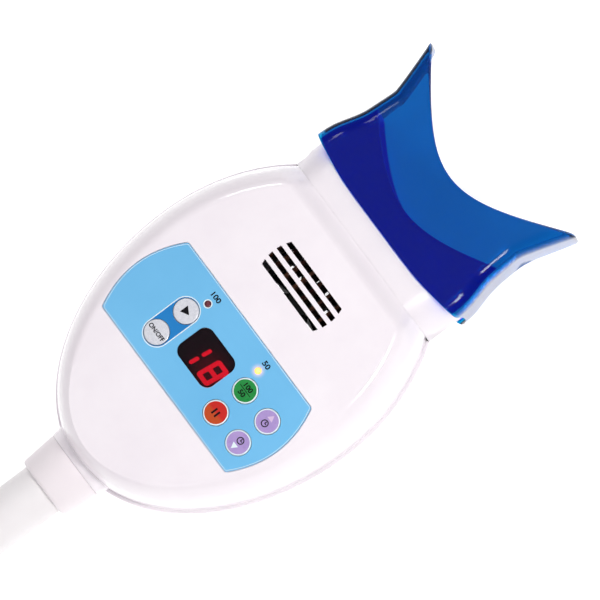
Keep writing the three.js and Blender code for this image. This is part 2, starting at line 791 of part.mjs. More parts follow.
function shieldStation(x, shrink) {
  const flareShare = Math.max(0, x - waistX) / (tipX - waistX);
  const wideShare = (shieldHalfWidthAt(x) - shrink) / (mouthHalfWidth - shrink);
  const tall = shieldRearHalfHeight - shrink;
  const highShare = (tall + shield.tipRise * flareShare) / tall;
  return mouthSection(shrink).map((p) => {
    return new THREE.Vector3(x, p.x * wideShare, mouthMidZ + (p.y - mouthMidZ) * highShare);
  });
}

function shieldLoft(shrink, spare) {
  const rings = [];
  const startX = bandX - spare;
  rings.push(shieldStation(bandX, shrink).map((p) => p.setX(startX)));
  for (let i = 1; i < shieldStations; i++) {
    const x = THREE.MathUtils.lerp(bandX, tipX + spare, i / (shieldStations - 1));
    rings.push(shieldStation(x, shrink));
  }
  const centre = (x) => new THREE.Vector3(x, 0, mouthMidZ);
  return solidOf(ringGeometry(rings, centre(startX), centre(tipX + spare)));
}

function edgeAt(y, reach, radius, slope) {
  return bandX + reach + slope * (Math.sqrt(y ** 2 + radius ** 2) - radius);
}

// The front edge sweeps back from the upper wall to the shorter lower one.
function shieldFrontAt(y, z) {
  const upper = edgeAt(y, shield.upperEdgeReach, shield.upperEdgeRadius, upperEdgeSlopeShare);
  const lower = edgeAt(y, shield.lowerEdgeReach, shield.lowerEdgeRadius, lowerEdgeSlopeShare);
  const share = THREE.MathUtils.smoothstep(z, head.mouthBottomZ, shield.sweepTopZ);
  return THREE.MathUtils.lerp(lower, upper, share);
}

function lightShield() {
  const [lowZ, highZ] = [head.mouthBottomZ - 2 * overrun, head.mouthTopZ + 2 * overrun];
  const wide = tipHalfWidth + 2 * overrun;
  const farX = tipX + 2 * overrun;
  const rearAt = (y) => bandFrontAt(y) + fit;
  let sleeve = shieldLoft(0, 0).subtract(shieldLoft(shield.wall, overrun));
  sleeve = sleeve.intersect(aheadOf(rearAt, wide, lowZ, highZ, farX));
  sleeve = sleeve.subtract(aheadOf(shieldFrontAt, wide, lowZ, highZ, farX + overrun));
  return piece("light_shield", sleeve, materials.shieldBlue);
}

function heatSink() {
  let block = box(sinkX, sinkFrontX, -sinkHalfWidth, sinkHalfWidth, sinkBottomZ, sinkTopZ);
  const pitch = (2 * sinkHalfWidth - sink.finThickness) / (finCount - 1);
  const finX = sinkX - sink.finLength;
  for (let i = 0; i < finCount; i++) {
    const y = i * pitch - sinkHalfWidth;
    block = block.add(box(finX, sinkX + fit, y, y + sink.finThickness, sinkBottomZ, sinkTopZ));
  }
  return piece("heat_sink", block, materials.aluminium);
}

// Emitter board with its rows of soldered emitters.
function ledBoard() {
  const frontX = emitterBoardX + emitterBoard.thickness;
  const [wide, tall] = [emitterBoardHalfWidth, emitterBoardHalfHeight];
  let plate = box(emitterBoardX, frontX, -wide, wide, -tall, tall);
  for (let row = 0; row < emitterRows; row++) {
    for (let column = 0; column < emitterColumns; column++) {
      const y = wide * emitterColumnShare * ((2 * column) / (emitterColumns - 1) - 1);
      const z = tall * emitterRowShare * ((2 * row) / (emitterRows - 1) - 1);
      const half = emitter.side / 2;
      plate = plate.add(box(frontX - fit, frontX + emitter.height, y - half, y + half, z - half, z + half));
      const topX = frontX + emitter.height + emitter.domeHeight;
      plate = plate.add(discX(emitter.domeRadius, frontX, topX, y, z, domeFacets));
    }
  }
  return piece("led_board", plate, materials.nylon);
}

function reflectorTray() {
  const ringAt = (x, halfWidth, halfHeight) => [[-1, -1], [1, -1], [1, 1], [-1, 1]].map(([i, j]) => {
    return new THREE.Vector3(x, i * halfWidth, j * halfHeight);
  });
  const funnel = (grow, spare) => {
    const [wide, tall] = [reflectorHalfWidth + grow, reflectorHalfHeight + grow];
    const [startX, endX] = [reflectorX - spare, reflectorX + reflector.depth + spare];
    const rear = ringAt(startX, wide - reflector.flare, tall - reflector.flare);
    const centre = (x) => new THREE.Vector3(x, 0, 0);
    return solidOf(ringGeometry([rear, ringAt(endX, wide, tall)], centre(startX), centre(endX)));
  };
  return piece("reflector", funnel(reflector.wall, 0).subtract(funnel(0, fit)), materials.mirror);
}

function fanFrame() {
  const topZ = fanZ + fan.height;
  let frame = slabZ(roundedRectangle(fanX, 0, fan.side, fan.side, fan.corner), fanZ, topZ);
  frame = frame.subtract(discZ(fan.boreRadius, fanZ - overrun, topZ + overrun, fanX, 0, roundFacets));
  let spider = discZ(fan.hubRadius, fanZ, fanZ + fan.hubPlate, fanX, 0, smallFacets);
  for (const angle of [Math.PI / 4, (3 * Math.PI) / 4]) {
    const bar = new THREE.BoxGeometry(2 * fan.boreRadius + fan.hubPlate, fan.strut, fan.hubPlate);
    bar.rotateZ(angle);
    bar.translate(fanX, 0, fanZ + fan.hubPlate / 2);
    spider = spider.add(solidOf(bar));
  }
  frame = frame.add(spider);
  frame = frame.add(discZ(fan.pinRadius, fanZ, topZ - fan.hubPlate - fit, fanX, 0, smallFacets));
  for (const [x, y] of fanHolePlaces()) {
    frame = frame.subtract(discZ(fan.postRadius + fit, fanZ - overrun, topZ + overrun, x, y));
  }
  return piece("fan_frame", frame, materials.fanBlack);
}

// Rotor, drawn about its own axis.
function fanRotor() {
  const [lowZ, highZ] = [fan.hubPlate + fit, fan.height - fit];
  let rotor = discZ(fan.hubRadius, lowZ, highZ);
  const reach = fan.boreRadius - fan.tipGap - fan.hubRadius;
  const chord = (highZ - lowZ) / Math.cos(bladePitch);
  const thick = fan.bladeThickness;
  for (let i = 0; i < bladeCount; i++) {
    const blade = new THREE.BoxGeometry(reach + thick, thick, chord - thick);
    blade.rotateX(bladePitch);
    blade.translate(fan.hubRadius + (reach - thick) / 2, 0, (lowZ + highZ) / 2);
    blade.rotateZ((2 * Math.PI * i) / bladeCount);
    rotor = rotor.add(solidOf(blade));
  }
  const slice = discZ(fan.boreRadius, lowZ, highZ, 0, 0, roundFacets);
  rotor = rotor.intersect(slice);
  rotor = rotor.subtract(discZ(fan.pinRadius + fit, -overrun, highZ - fan.hubPlate, 0, 0));
  const made = piece("fan_rotor", rotor, materials.fanBlack);
  made.position.set(fanX, 0, fanZ);
  return made;
}

function panelOverlay() {
  const lowZ = panelTopZ - panel.thickness;
  const topZ = panelTopZ;
  let sheet = slabZ(panelOutline(0), lowZ, topZ, panelFacets);
  sheet = sheet.subtract(slabZ(paneOutline(fit), lowZ - overrun, topZ + overrun));
  for (const [x, y] of Object.values(keyPlaces)) {
    sheet = sheet.subtract(discZ(key.radius + fit, lowZ - overrun, topZ + overrun, x, y, keyFacets));
  }
  for (const [x, y] of Object.values(indicatorPlaces)) {
    sheet = sheet.subtract(discZ(indicator.radius + fit, lowZ - overrun, topZ + overrun, x, y));
  }
  return piece("panel_overlay", sheet, materials.panel);
}

// Smoked pane over the digits, held by a lip under the shell.
function displayWindow() {
  const lipTopZ = ceilingZ - fit;
  const pane = slabZ(paneOutline(0), lipTopZ - windowPane.lipThickness, panelTopZ);
  const lip = slabZ(paneOutline(windowPane.lip), lipTopZ - windowPane.lipThickness, lipTopZ);
  return piece("display_window", pane.add(lip), materials.black);
}

function displayModule() {
  const topZ = ceilingZ - 2 * fit - windowPane.lipThickness;
  const [width, length] = [windowPane.width, windowPane.length].map((side) => side + 2 * displayBlock.rim);
  const shape = roundedRectangle(windowX, 0, width, length, displayBlock.corner);
  return piece("display_module", slabZ(shape, boardTopZ + fit, topZ), materials.black);
}

// Key: a domed cap, a flange that keeps it under the shell, and a stem above its switch.
function keyCap(name, material) {
  const topZ = panelTopZ + key.rise;
  const flangeLowZ = keyFlangeTopZ - key.flangeThickness;
  const flangeRadius = key.radius + key.flange;
  const profile = [
    [stemZ, 0],
    [stemZ, key.stemRadius],
    [flangeLowZ, key.stemRadius],
    [flangeLowZ, flangeRadius],
    [keyFlangeTopZ, flangeRadius],
    [keyFlangeTopZ, key.radius],
    [topZ - key.dome, key.radius],
    [topZ - key.dome * domeShoulderShare, key.radius - key.dome],
    [topZ, 0],
  ];
  const made = piece(name, turned(profile, "z", keyFacets), material);
  const [x, y] = keyPlaces[name];
  made.position.set(x, y, 0);
  return made;
}

function tactSwitch(keyName) {
  const half = switchBody.side / 2;
  const lowZ = boardTopZ + fit;
  const shoulderZ = lowZ + switchBody.height;
  const body = box(-half, half, -half, half, lowZ, shoulderZ);
  const plunger = discZ(switchBody.plungerRadius, lowZ, switchTopZ);
  const made = piece(keyName.replace("key", "switch"), body.add(plunger), materials.grey);
  const [x, y] = keyPlaces[keyName];
  made.position.set(x, y, 0);
  return made;
}

function indicatorLed(name, material) {
  const topZ = panelTopZ + indicator.rise;
  const lowZ = boardTopZ + fit;
  const collarRadius = indicator.radius + indicator.collar;
  const profile = [
    [lowZ, 0],
    [lowZ, collarRadius],
    [lowZ + indicator.collarHeight, collarRadius],
    [lowZ + indicator.collarHeight, indicator.radius],
    [topZ - indicator.round, indicator.radius],
    [topZ - indicator.round * domeShoulderShare, indicator.radius - indicator.round],
    [topZ, 0],
  ];
  const made = piece(name, turned(profile, "z", smallFacets), material);
  const [x, y] = indicatorPlaces[name];
  made.position.set(x, y, 0);
  return made;
}

function controlBoard() {
  const [x, y] = [(boardRearX + boardFrontX) / 2, (boardRightY + boardLeftY) / 2];
  const shape = roundedRectangle(x, y, boardFrontX - boardRearX, boardLeftY - boardRightY, board.corner);
  let plate = slabZ(shape, boardZ, boardTopZ);
  for (const place of Object.values(boardScrewPlaces)) {
    plate = plate.subtract(discZ(screw.shank + fit, boardZ - overrun, boardTopZ + overrun, ...place));
  }
  return piece("control_board", plate, materials.boardGreen);
}

// A pan-head screw with its tip up, standing on its head's under face at z = 0.
function upwardScrew(name, length, [x, y], seatZ) {
  const profile = [
    [-screw.headHeight, 0],
    [-screw.headHeight, screw.head - screw.recess],
    [-screw.headHeight / 2, screw.head],
    [0, screw.head],
    [0, screw.shank],
    [length - screw.shank, screw.shank],
    [length, 0],
  ];
  let body = turned(profile, "z", smallFacets);
  const half = screw.recess / 2;
  const [lowZ, highZ] = [-screw.headHeight - overrun, screw.recess - screw.headHeight];
  const reach = screw.head - screw.recess;
  body = body.subtract(box(-reach, reach, -half, half, lowZ, highZ));
  body = body.subtract(box(-half, half, -reach, reach, lowZ, highZ));
  const made = piece(name, body, materials.steel);
  made.position.set(x, y, seatZ);
  return made;
}

function driverBoard() {
  const [low, high] = [driver.topZ - driver.thickness, driver.topZ];
  const shape = roundedRectangle(driverX, 0, driver.width, 2 * driver.halfLength, driver.corner);
  let plate = slabZ(shape, low, high);
  for (const [x, y] of driverPostPlaces()) {
    plate = plate.subtract(discZ(screw.shank + fit, low - overrun, high + overrun, x, y));
  }
  return piece("driver_board", plate, materials.boardGreen);
}

function transformerBlock() {
  const { y, side, height, corner } = transformer;
  const shape = roundedRectangle(driverX + transformer.ahead, y, side, side, corner);
  return piece("transformer", slabZ(shape, driver.topZ + fit, driver.topZ + fit + height), materials.grey);
}

function capacitorCan(name, y) {
  const lowZ = driver.topZ + fit;
  const can = discZ(capacitor.radius, lowZ, lowZ + capacitor.height, driverX + capacitor.ahead, y);
  return piece(name, can, materials.black);
}

function buzzerCan() {
  const lowZ = driver.topZ + fit;
  const topZ = lowZ + buzzer.height;
  const x = driverX - buzzer.behind;
  const can = discZ(buzzer.radius, lowZ, topZ, x, buzzer.y);
  const port = discZ(buzzer.port, topZ - buzzer.portDepth, topZ + overrun, x, buzzer.y);
  return piece("buzzer", can.subtract(port), materials.black);
}

// Terminal block on the arm's axis, so that the lead can turn in its entry.
function terminalBlock() {
  const [rear, front] = [terminalRearX, terminalRearX + terminal.width];
  const reach = terminal.halfLength;
  const block = box(rear, front, -reach, reach, driver.topZ + fit, terminal.topZ);
  const entry = discX(lead.radius + fit, rear - overrun, rear + terminal.entryDepth, 0, 0, smallFacets);
  return piece("terminal_block", block.subtract(entry), materials.green);
}

// Flat cable that stands between the two boards.
function ribbonCable() {
  const half = ribbon.thickness / 2;
  const turnX = boardRearX + ribbon.fold;
  const [lowZ, highZ] = [driver.topZ + fit, boardZ - fit];
  const [low, high] = [ribbon.y - ribbon.width / 2, ribbon.y + ribbon.width / 2];
  const upright = box(ribbonX - half, ribbonX + half, low, high, lowZ, highZ);
  const fold = box(ribbonX - half, turnX, low, high, highZ - ribbon.thickness, highZ);
  return piece("ribbon_cable", upright.add(fold), materials.grey);
}

// Cable along the floor from the power board to the foot of the emitter board.
function ledCable() {
  const edgeX = driverX + driver.width / 2;
  const path = new THREE.CatmullRomCurve3([
    new THREE.Vector3(edgeX + fit, driver.halfLength / 2, driver.topZ),
    new THREE.Vector3(edgeX + wire.straight, driver.halfLength / 2, driver.topZ),
    new THREE.Vector3(fanX - fan.side / 4, cableY, driver.topZ),
    new THREE.Vector3(sinkX - sink.base, cableY, driver.topZ / 2),
    new THREE.Vector3(emitterBoardX + wire.radius, cableY - fit, 0),
  ]);
  const section = new THREE.Shape();
  section.absarc(0, 0, wire.radius, 0, 2 * Math.PI);
  const geometry = new THREE.ExtrudeGeometry(section, {
    steps: wireSteps,
    curveSegments: wireFacets,
    extrudePath: path,
  });
  return piece("led_cable", solidOf(geometry), materials.red);
}

// Collar: a tapered sleeve outside the head, its neck through the shells and a flange inside.
function rearCollar() {
  const frontX = seatX + fit;
  const flangeEndX = frontX + collar.flangeThickness;
  const boreRadius = spindle.journalRadius + bush.wall + 2 * fit;
  const tubeBore = tube.radius + fit;
  const shoulderX = collar.bury - head.rearReach;
  const profile = [
    [collarRearX, tubeBore],
    [collarRearX, collar.rearRadius - collar.edge],
    [collarRearX + collar.edge, collar.rearRadius],
    [shoulderX, collar.frontRadius],
    [shoulderX, collar.neckRadius],
    [frontX, collar.neckRadius],
    [frontX, collar.flangeRadius],
    [flangeEndX, collar.flangeRadius],
    [flangeEndX, boreRadius],
    [collarWebX, boreRadius],
    [collarWebX, tubeBore],
  ];
  let sleeve = turned(profile, "x");
  const neckRearX = -head.rearReach - overrun;
  const neckProfile = [
    [neckRearX, boreRadius],
    [neckRearX, collar.neckRadius],
    [frontX, collar.neckRadius],
    [frontX, boreRadius],
  ];
  const neck = turned(neckProfile, "x");
  const outside = halfEgg(1, -fit, 0).add(halfEgg(-1, -fit, 0));
  const behind = box(-headX, seatX - fit, -headX, headX, -headX, headX);
  sleeve = sleeve.subtract(outside.intersect(behind)).add(neck);
  return piece("rear_collar", sleeve, materials.collar);
}

function armTube() {
  const inner = tube.radius - tube.wall;
  const rearX = coupling.length - headX;
  const profile = [[rearX, inner], [rearX, tube.radius], [tubeFrontX, tube.radius], [tubeFrontX, inner]];
  return piece("arm_tube", turned(profile, "x"), materials.tube);
}

// Spindle: a plug fixed in the tube and a hollow journal through the collar into the head.
function swivelSpindle() {
  const plugRadius = tube.radius - tube.wall - fit;
  const noseX = washerX() + washer.thickness + nut.thickness + 2 * fit;
  const profile = [
    [tubeFrontX - spindle.plugLength, spindle.boreRadius],
    [tubeFrontX - spindle.plugLength, plugRadius],
    [tubeFrontX - fit, plugRadius],
    [tubeFrontX - fit, spindle.journalRadius],
    [noseX, spindle.journalRadius],
    [noseX, spindle.boreRadius],
  ];
  return piece("swivel_spindle", turned(profile, "x"), materials.steel);
}

function washerX() {
  return seatX + collar.flangeThickness + 2 * fit;
}

function swivelBush() {
  const inner = spindle.journalRadius + fit;
  const outer = inner + bush.wall;
  const flangeRadius = tube.radius - tube.wall;
  const [startX, flangeX] = [tubeFrontX + fit, collarWebX - fit];
  const endX = seatX + collar.flangeThickness;
  const profile = [
    [startX, inner],
    [startX, flangeRadius],
    [flangeX, flangeRadius],
    [flangeX, outer],
    [endX, outer],
    [endX, inner],
  ];
  return piece("swivel_bush", turned(profile, "x"), materials.nylon);
}

function frictionWasher() {
  const inner = spindle.journalRadius + fit;
  const [startX, endX] = [washerX(), washerX() + washer.thickness];
  const profile = [[startX, inner], [startX, washer.radius], [endX, washer.radius], [endX, inner]];
  return piece("friction_washer", turned(profile, "x"), materials.black);
}

function spindleNut() {
  const startX = washerX() + washer.thickness + fit;
  const endX = startX + nut.thickness;
  const hexagon = discX(nut.radius, startX, endX, 0, 0, nutSides);
  const hole = discX(spindle.journalRadius + fit, startX - overrun, endX + overrun);
  return piece("spindle_nut", hexagon.subtract(hole), materials.brass);
}

// Lead inside the arm, along its axis from the end face to the terminal block.
function lampLead() {
  const rod = discX(lead.radius, fit - headX, terminalRearX + lead.insertion, 0, 0, smallFacets);
  return piece("lamp_lead", rod, materials.grey);
}

// Flanged plug that closes the tube and bolts to whatever carries the arm.
function armCoupling() {
  const plugRadius = tube.radius - tube.wall - fit;
  const hole = lead.radius + fit;
  const flangeEndX = coupling.length - headX - fit;
  const profile = [
    [-headX, hole],
    [-headX, coupling.radius - coupling.edge],
    [coupling.edge - headX, coupling.radius],
    [coupling.rim - headX, coupling.radius],
    [flangeEndX, tube.radius + coupling.edge],
    [flangeEndX, plugRadius],
    [flangeEndX + coupling.plugLength, plugRadius],
    [flangeEndX + coupling.plugLength, hole],
  ];
  let body = turned(profile, "x");
  for (let i = 0; i < couplingHoles; i++) {
    const angle = Math.PI / 4 + (2 * Math.PI * i) / couplingHoles;
    const [y, z] = [coupling.holeCircle * Math.cos(angle), coupling.holeCircle * Math.sin(angle)];
    body = body.subtract(discX(coupling.holeRadius, -headX - overrun, flangeEndX - fit, y, z, smallFacets));
  }
  return piece("arm_coupling", body, materials.steel);
}

function lampHead() {
  const group = new THREE.Group();
  const keyMaterials = {
    key_on_off: materials.silver,
    key_start: materials.silver,
    key_high_low: materials.green,
    key_pause: materials.red,
    key_time_up: materials.lavender,
    key_time_down: materials.lavender,
  };
  group.add(upperHousing(), lowerHousing(), nozzleRing(), lensCover(), lightShield());
  group.add(heatSink(), ledBoard(), reflectorTray(), fanFrame(), fanRotor());
  group.add(panelOverlay(), displayWindow(), displayModule(), controlBoard());
  for (const [name, material] of Object.entries(keyMaterials)) {
    group.add(keyCap(name, material), tactSwitch(name));
  }
  group.add(indicatorLed("indicator_high", materials.darkRed));
  group.add(indicatorLed("indicator_low", materials.amber));
  group.add(driverBoard(), transformerBlock(), buzzerCan(), terminalBlock(), ribbonCable(), ledCable());
  group.add(capacitorCan("capacitor_left", capacitor.y + capacitor.pitch / 2));
  group.add(capacitorCan("capacitor_right", capacitor.y - capacitor.pitch / 2));
  const housingSeatZ = head.bottomZ + housingScrew.headDepth - fit;
  for (const [name, place] of Object.entries(housingScrewPlaces)) {
    group.add(upwardScrew(name, housingScrew.length, place, housingSeatZ));
  }
  for (const [name, place] of Object.entries(boardScrewPlaces)) {
    group.add(upwardScrew(name, boardScrewLength, place, boardZ - fit));
  }
  return group;
}

function armEnd() {
  const group = new THREE.Group();
  group.add(rearCollar(), armTube(), swivelSpindle(), swivelBush(), frictionWasher(), spindleNut());
  group.add(lampLead(), armCoupling());
  return group;
}

const lamp = new THREE.Group();
lamp.name = "teeth_whitening_lamp";
const headGroup = lampHead();
const armGroup = armEnd();
headGroup.position.x = headX;
armGroup.position.x = headX;
lamp.add(headGroup, armGroup);

export default lamp;
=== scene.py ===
import math

import bmesh
import bpy
from mathutils import Matrix, Vector


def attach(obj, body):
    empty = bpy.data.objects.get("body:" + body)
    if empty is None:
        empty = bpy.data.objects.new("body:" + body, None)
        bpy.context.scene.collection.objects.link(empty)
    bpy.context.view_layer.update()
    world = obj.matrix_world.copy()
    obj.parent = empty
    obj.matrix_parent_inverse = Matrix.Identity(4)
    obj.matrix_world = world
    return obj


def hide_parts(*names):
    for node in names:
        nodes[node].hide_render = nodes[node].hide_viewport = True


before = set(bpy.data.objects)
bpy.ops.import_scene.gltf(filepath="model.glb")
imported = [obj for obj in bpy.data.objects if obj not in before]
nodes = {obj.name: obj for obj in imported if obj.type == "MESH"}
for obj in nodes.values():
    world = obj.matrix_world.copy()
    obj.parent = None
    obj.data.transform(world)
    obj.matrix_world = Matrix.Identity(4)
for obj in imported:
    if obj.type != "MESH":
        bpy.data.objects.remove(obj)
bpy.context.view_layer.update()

tiny = 0.000001


# small helpers, used by every piece

def letGo():
    if bpy.context.object and bpy.context.object.mode != "OBJECT":
        bpy.ops.object.mode_set(mode="OBJECT")
    bpy.ops.object.select_all(action="DESELECT")


def takeUp(*pieces):
    letGo()
    for piece in pieces:
        piece.select_set(True)
    bpy.context.view_layer.objects.active = pieces[0]


def settle(name):
    # names the new object and puts its place in the mesh
    piece = bpy.context.object
    bpy.ops.object.transform_apply(location=True, rotation=True, scale=True)
    piece.name = name
    piece.data.name = name
    return piece


def openEdit(piece):
    takeUp(piece)
    bpy.ops.object.mode_set(mode="EDIT")


def closeEdit():
    bpy.ops.object.mode_set(mode="OBJECT")


def selectAll():
    bpy.ops.mesh.select_all(action="SELECT")


def chooseOpenEdges():
    # selects the edges that don't join two faces
    bpy.ops.mesh.select_mode(type="EDGE")
    bpy.ops.mesh.select_all(action="DESELECT")
    bpy.ops.mesh.select_non_manifold()


def choose(piece, rule, kind="VERT"):
    # selects the vertices or edges that the rule accepts, in edit mode
    bpy.ops.mesh.select_mode(type=kind)
    bpy.ops.mesh.select_all(action="DESELECT")
    mesh = bmesh.from_edit_mesh(piece.data)
    for part in mesh.edges if kind == "EDGE" else mesh.verts:
        if rule(part):
            part.select_set(True)
    mesh.select_flush_mode()
    bmesh.update_edit_mesh(piece.data)


def moveEach(piece, rule):
    # moves single vertices where no operator gives the curve
    for vert in piece.data.vertices:
        vert.co = rule(vert.co.copy())
    piece.data.update()


def pushOut(by):
    bpy.ops.mesh.extrude_region_move(TRANSFORM_OT_translate={"value": by})


def faceOut(piece):
    openEdit(piece)
    selectAll()
    bpy.ops.mesh.normals_make_consistent(inside=False)
    closeEdit()


def addModifier(piece, kind, **settings):
    takeUp(piece)
    made = piece.modifiers.new(kind.lower(), kind)
    for key, value in settings.items():
        setattr(made, key, value)
    bpy.ops.object.modifier_apply(modifier=made.name)


def cutWith(piece, cutter, operation="DIFFERENCE"):
    addModifier(piece, "BOOLEAN", object=cutter, operation=operation, solver="EXACT")


def bevelEdges(piece, width, segments=2, angle=35):
    addModifier(piece, "BEVEL", width=width, segments=segments, limit_method="ANGLE",
                angle_limit=math.radians(angle), use_clamp_overlap=True, miter_outer="MITER_ARC")


def smoothOver(piece, angle=40):
    takeUp(piece)
    bpy.ops.object.shade_smooth_by_angle(angle=math.radians(angle))


def evenShade(piece, angle):
    # smooth round edges, with large flat faces left flat
    smoothOver(piece, angle)
    addModifier(piece, "WEIGHTED_NORMAL", keep_sharp=True, weight=100)


def raised(piece, height):
    # a flat face becomes a plate
    openEdit(piece)
    selectAll()
    pushOut((0, 0, height))
    closeEdit()
    faceOut(piece)
    return piece


def roundCorners(piece, radius, segments):
    openEdit(piece)
    selectAll()
    bpy.ops.mesh.select_mode(type="VERT")
    bpy.ops.mesh.bevel(offset=radius, segments=segments, affect="VERTICES")
    closeEdit()


def flatRect(name, place, alongX, alongY):
    bpy.ops.mesh.primitive_plane_add(size=1, location=place)
    bpy.context.object.scale = (alongX, alongY, 1)
    return settle(name)


def thicken(piece, wall):
    addModifier(piece, "SOLIDIFY", thickness=wall, offset=-1, use_even_offset=True, use_rim=True)


def twin(piece, name):
    copy = piece.copy()
    copy.data = piece.data.copy()
    copy.name = name
    bpy.context.collection.objects.link(copy)
    return copy


def joinUp(name, *pieces):
    takeUp(*pieces)
    if len(pieces) > 1:
        bpy.ops.object.join()
    bpy.context.object.name = name
    return bpy.context.object


def throwAway(*pieces):
    for piece in pieces:
        bpy.data.objects.remove(piece)


def smoothStep(value, low, high):
    share = min(1, max(0, (value - low) / (high - low)))
    return share * share * (3 - 2 * share)


def mix(a, b, share):
    return a + (b - a) * share


def turnedPiece(name, profile, centre=(0, 0, 0), axis="X", points=96, hollow=False):
    # profile rows are [place along the axis, radius]; a hollow one closes on itself
    turn = (0, math.pi / 2, 0) if axis == "X" else (0, 0, 0)
    way = Vector((1, 0, 0)) if axis == "X" else Vector((0, 0, 1))
    place, radius = profile[0]
    bpy.ops.mesh.primitive_circle_add(vertices=points, radius=radius, rotation=turn,
                                      location=Vector(centre) + way * place)
    piece = settle(name)
    openEdit(piece)
    selectAll()
    if not hollow:
        bpy.ops.mesh.edge_face_add()
    for nextPlace, nextRadius in profile[1:]:
        pushOut(way * (nextPlace - place))
        share = nextRadius / radius
        value = (1, share, share) if axis == "X" else (share, share, 1)
        bpy.ops.transform.resize(value=value, center_override=Vector(centre) + way * nextPlace)
        place, radius = nextPlace, nextRadius
    if hollow:
        chooseOpenEdges()
        bpy.ops.mesh.bridge_edge_loops()
    closeEdit()
    faceOut(piece)
    return piece


# camera, lights and floor

view = {"target": (0.202, -0.0010, 0), "lean": 84, "distance": 6.0, "up": (0.5955, 0.8034, 0), "lens": 792}

bpy.ops.object.camera_add()
camera = bpy.context.object
lean = math.radians(view["lean"])
back = Vector((0, -math.cos(lean), math.sin(lean)))
up = Vector(view["up"])
up = (up - up.dot(back) * back).normalized()
right = up.cross(back)
turn = Matrix((right, up, back)).transposed()
camera.matrix_world = Matrix.Translation(Vector(view["target"]) + back * view["distance"]) @ turn.to_4x4()
camera.data.lens = view["lens"]
camera.data.sensor_width = 36
camera.data.clip_start = 0.05
camera.data.clip_end = 50
bpy.context.scene.camera = camera
bpy.context.scene.view_settings.view_transform = "Standard"

sky = {"colour": (0.985, 0.970, 0.985, 1), "strength": 0.42}
lights = {
    "key": {"place": (0.36, -0.36, 0.62), "size": 0.13, "power": 2.1, "colour": (1, 0.985, 0.985)},
    "left": {"place": (0.36, 0.44, 0.62), "size": 0.14, "power": 0.7, "colour": (1, 0.985, 0.995)},
    "rear": {"place": (-0.36, -0.34, 0.52), "size": 0.45, "power": 0.8, "colour": (1, 0.985, 0.99)},
    "top": {"place": (0.25, 0.15, 1.8), "size": 1.5, "power": 3.6, "colour": (1, 0.99, 1)},
}
for name, values in lights.items():
    bpy.ops.object.light_add(type="AREA", location=values["place"])
    lamp = bpy.context.object
    lamp.name = name + "_light"
    lamp.data.size = values["size"]
    lamp.data.energy = values["power"]
    lamp.data.color = values["colour"]
    aim = Vector(values["place"]) - Vector(view["target"])
    lamp.rotation_euler = aim.to_track_quat("Z", "Y").to_euler()

world = bpy.data.worlds.new("paleRoom")
world.use_nodes = True
background = world.node_tree.nodes["Background"]
background.inputs["Color"].default_value = sky["colour"]
background.inputs["Strength"].default_value = sky["strength"]
bpy.context.scene.world = world

letGo()
bpy.ops.mesh.primitive_plane_add(size=8, location=(0.2, 0, -0.0302))
floor = settle("floor")
print("camera, lights and floor")


# finishes

def tint(red, green, blue):
    # screen colour, 0 to 255, to what the shader takes
    shares = [c / 255 for c in (red, green, blue)]
    return tuple(c / 12.92 if c <= 0.04045 else ((c + 0.055) / 1.055) ** 2.4 for c in shares) + (1,)


def startMaterial(name):
    material = bpy.data.materials.new(name)
    material.use_nodes = True
    return material, material.node_tree.nodes.new("ShaderNodeTexCoord").outputs["Object"]


def feed(node, values):
    # each input takes a plain value or another node's output
    for socket, value in values:
        if isinstance(value, bpy.types.NodeSocket):
            node.id_data.links.new(value, node.inputs[socket])
        else:
            node.inputs[socket].default_value = value


def painted(material, values):
    feed(material.node_tree.nodes["Principled BSDF"], values)
    return material


def addNode(kind, values, **settings):
    # the first value is another node's output, and so tells which material takes the node
    node = values[0][1].id_data.nodes.new(kind)
    for key, value in settings.items():
        setattr(node, key, value)
    feed(node, values)
    return node


def noise(where, scale, detail=3, rough=0.55, stretch=None):
    if stretch:
        where = addNode("ShaderNodeMapping", [(0, where), ("Scale", stretch)]).outputs[0]
    values = [("Vector", where), ("Scale", scale), ("Detail", detail), ("Roughness", rough)]
    return addNode("ShaderNodeTexNoise", values).outputs["Fac"]


def ranged(value, fromLow, fromHigh, toLow, toHigh):
    values = list(enumerate((value, fromLow, fromHigh, toLow, toHigh)))
    return addNode("ShaderNodeMapRange", values, clamp=True).outputs[0]


def blendTones(share, first, second):
    values = [(0, share), (6, first), (7, second)]
    return addNode("ShaderNodeMix", values, data_type="RGBA").outputs[2]


def grained(height, strength, depth=0.00002):
    # fine relief in the surface's shading
    values = [("Height", height), ("Strength", strength), ("Distance", depth)]
    return addNode("ShaderNodeBump", values).outputs[0]


def awayFrom(where, centre):
    moved = addNode("ShaderNodeMapping", [(0, where), ("Location", [-c for c in centre])]).outputs[0]
    return addNode("ShaderNodeVectorMath", [(0, moved)], operation="LENGTH").outputs["Value"]


def paintedGlowAt(where, centre, near, far, power):
    # a painted glow's share: full within the near distance of a point, gone at the far one
    share = ranged(awayFrom(where, centre), near, far, 1, 0)
    return addNode("ShaderNodeMath", [(0, share), (1, power)], operation="POWER").outputs[0]


def finishOf(name, tones, rough, blotch=38, grain=1500, bump=0.06, metal=0, coat=0, clear=0, index=1.5,
             stretch=None, depth=0.00002, scuff=0.25):
    # a moulded, painted or metal surface: slow drift of tone, fine grain, faint scuffs in the gloss
    material, where = startMaterial(name)
    slow = noise(where, blotch, 4, 0.6)
    fine = noise(where, grain, 2, 0.5, stretch)
    worn = noise(where, blotch * 4.3, 5, 0.7, stretch)
    return painted(material, [
        ("Base Color", blendTones(ranged(slow, 0.3, 0.7, 0, 1), *tones)),
        ("Roughness", ranged(worn, 0.42, 0.72, rough * (1 - scuff), rough * (1 + scuff))),
        ("Normal", grained(fine, bump, depth)),
        ("Metallic", metal), ("Coat Weight", coat), ("Transmission Weight", clear), ("IOR", index),
    ])


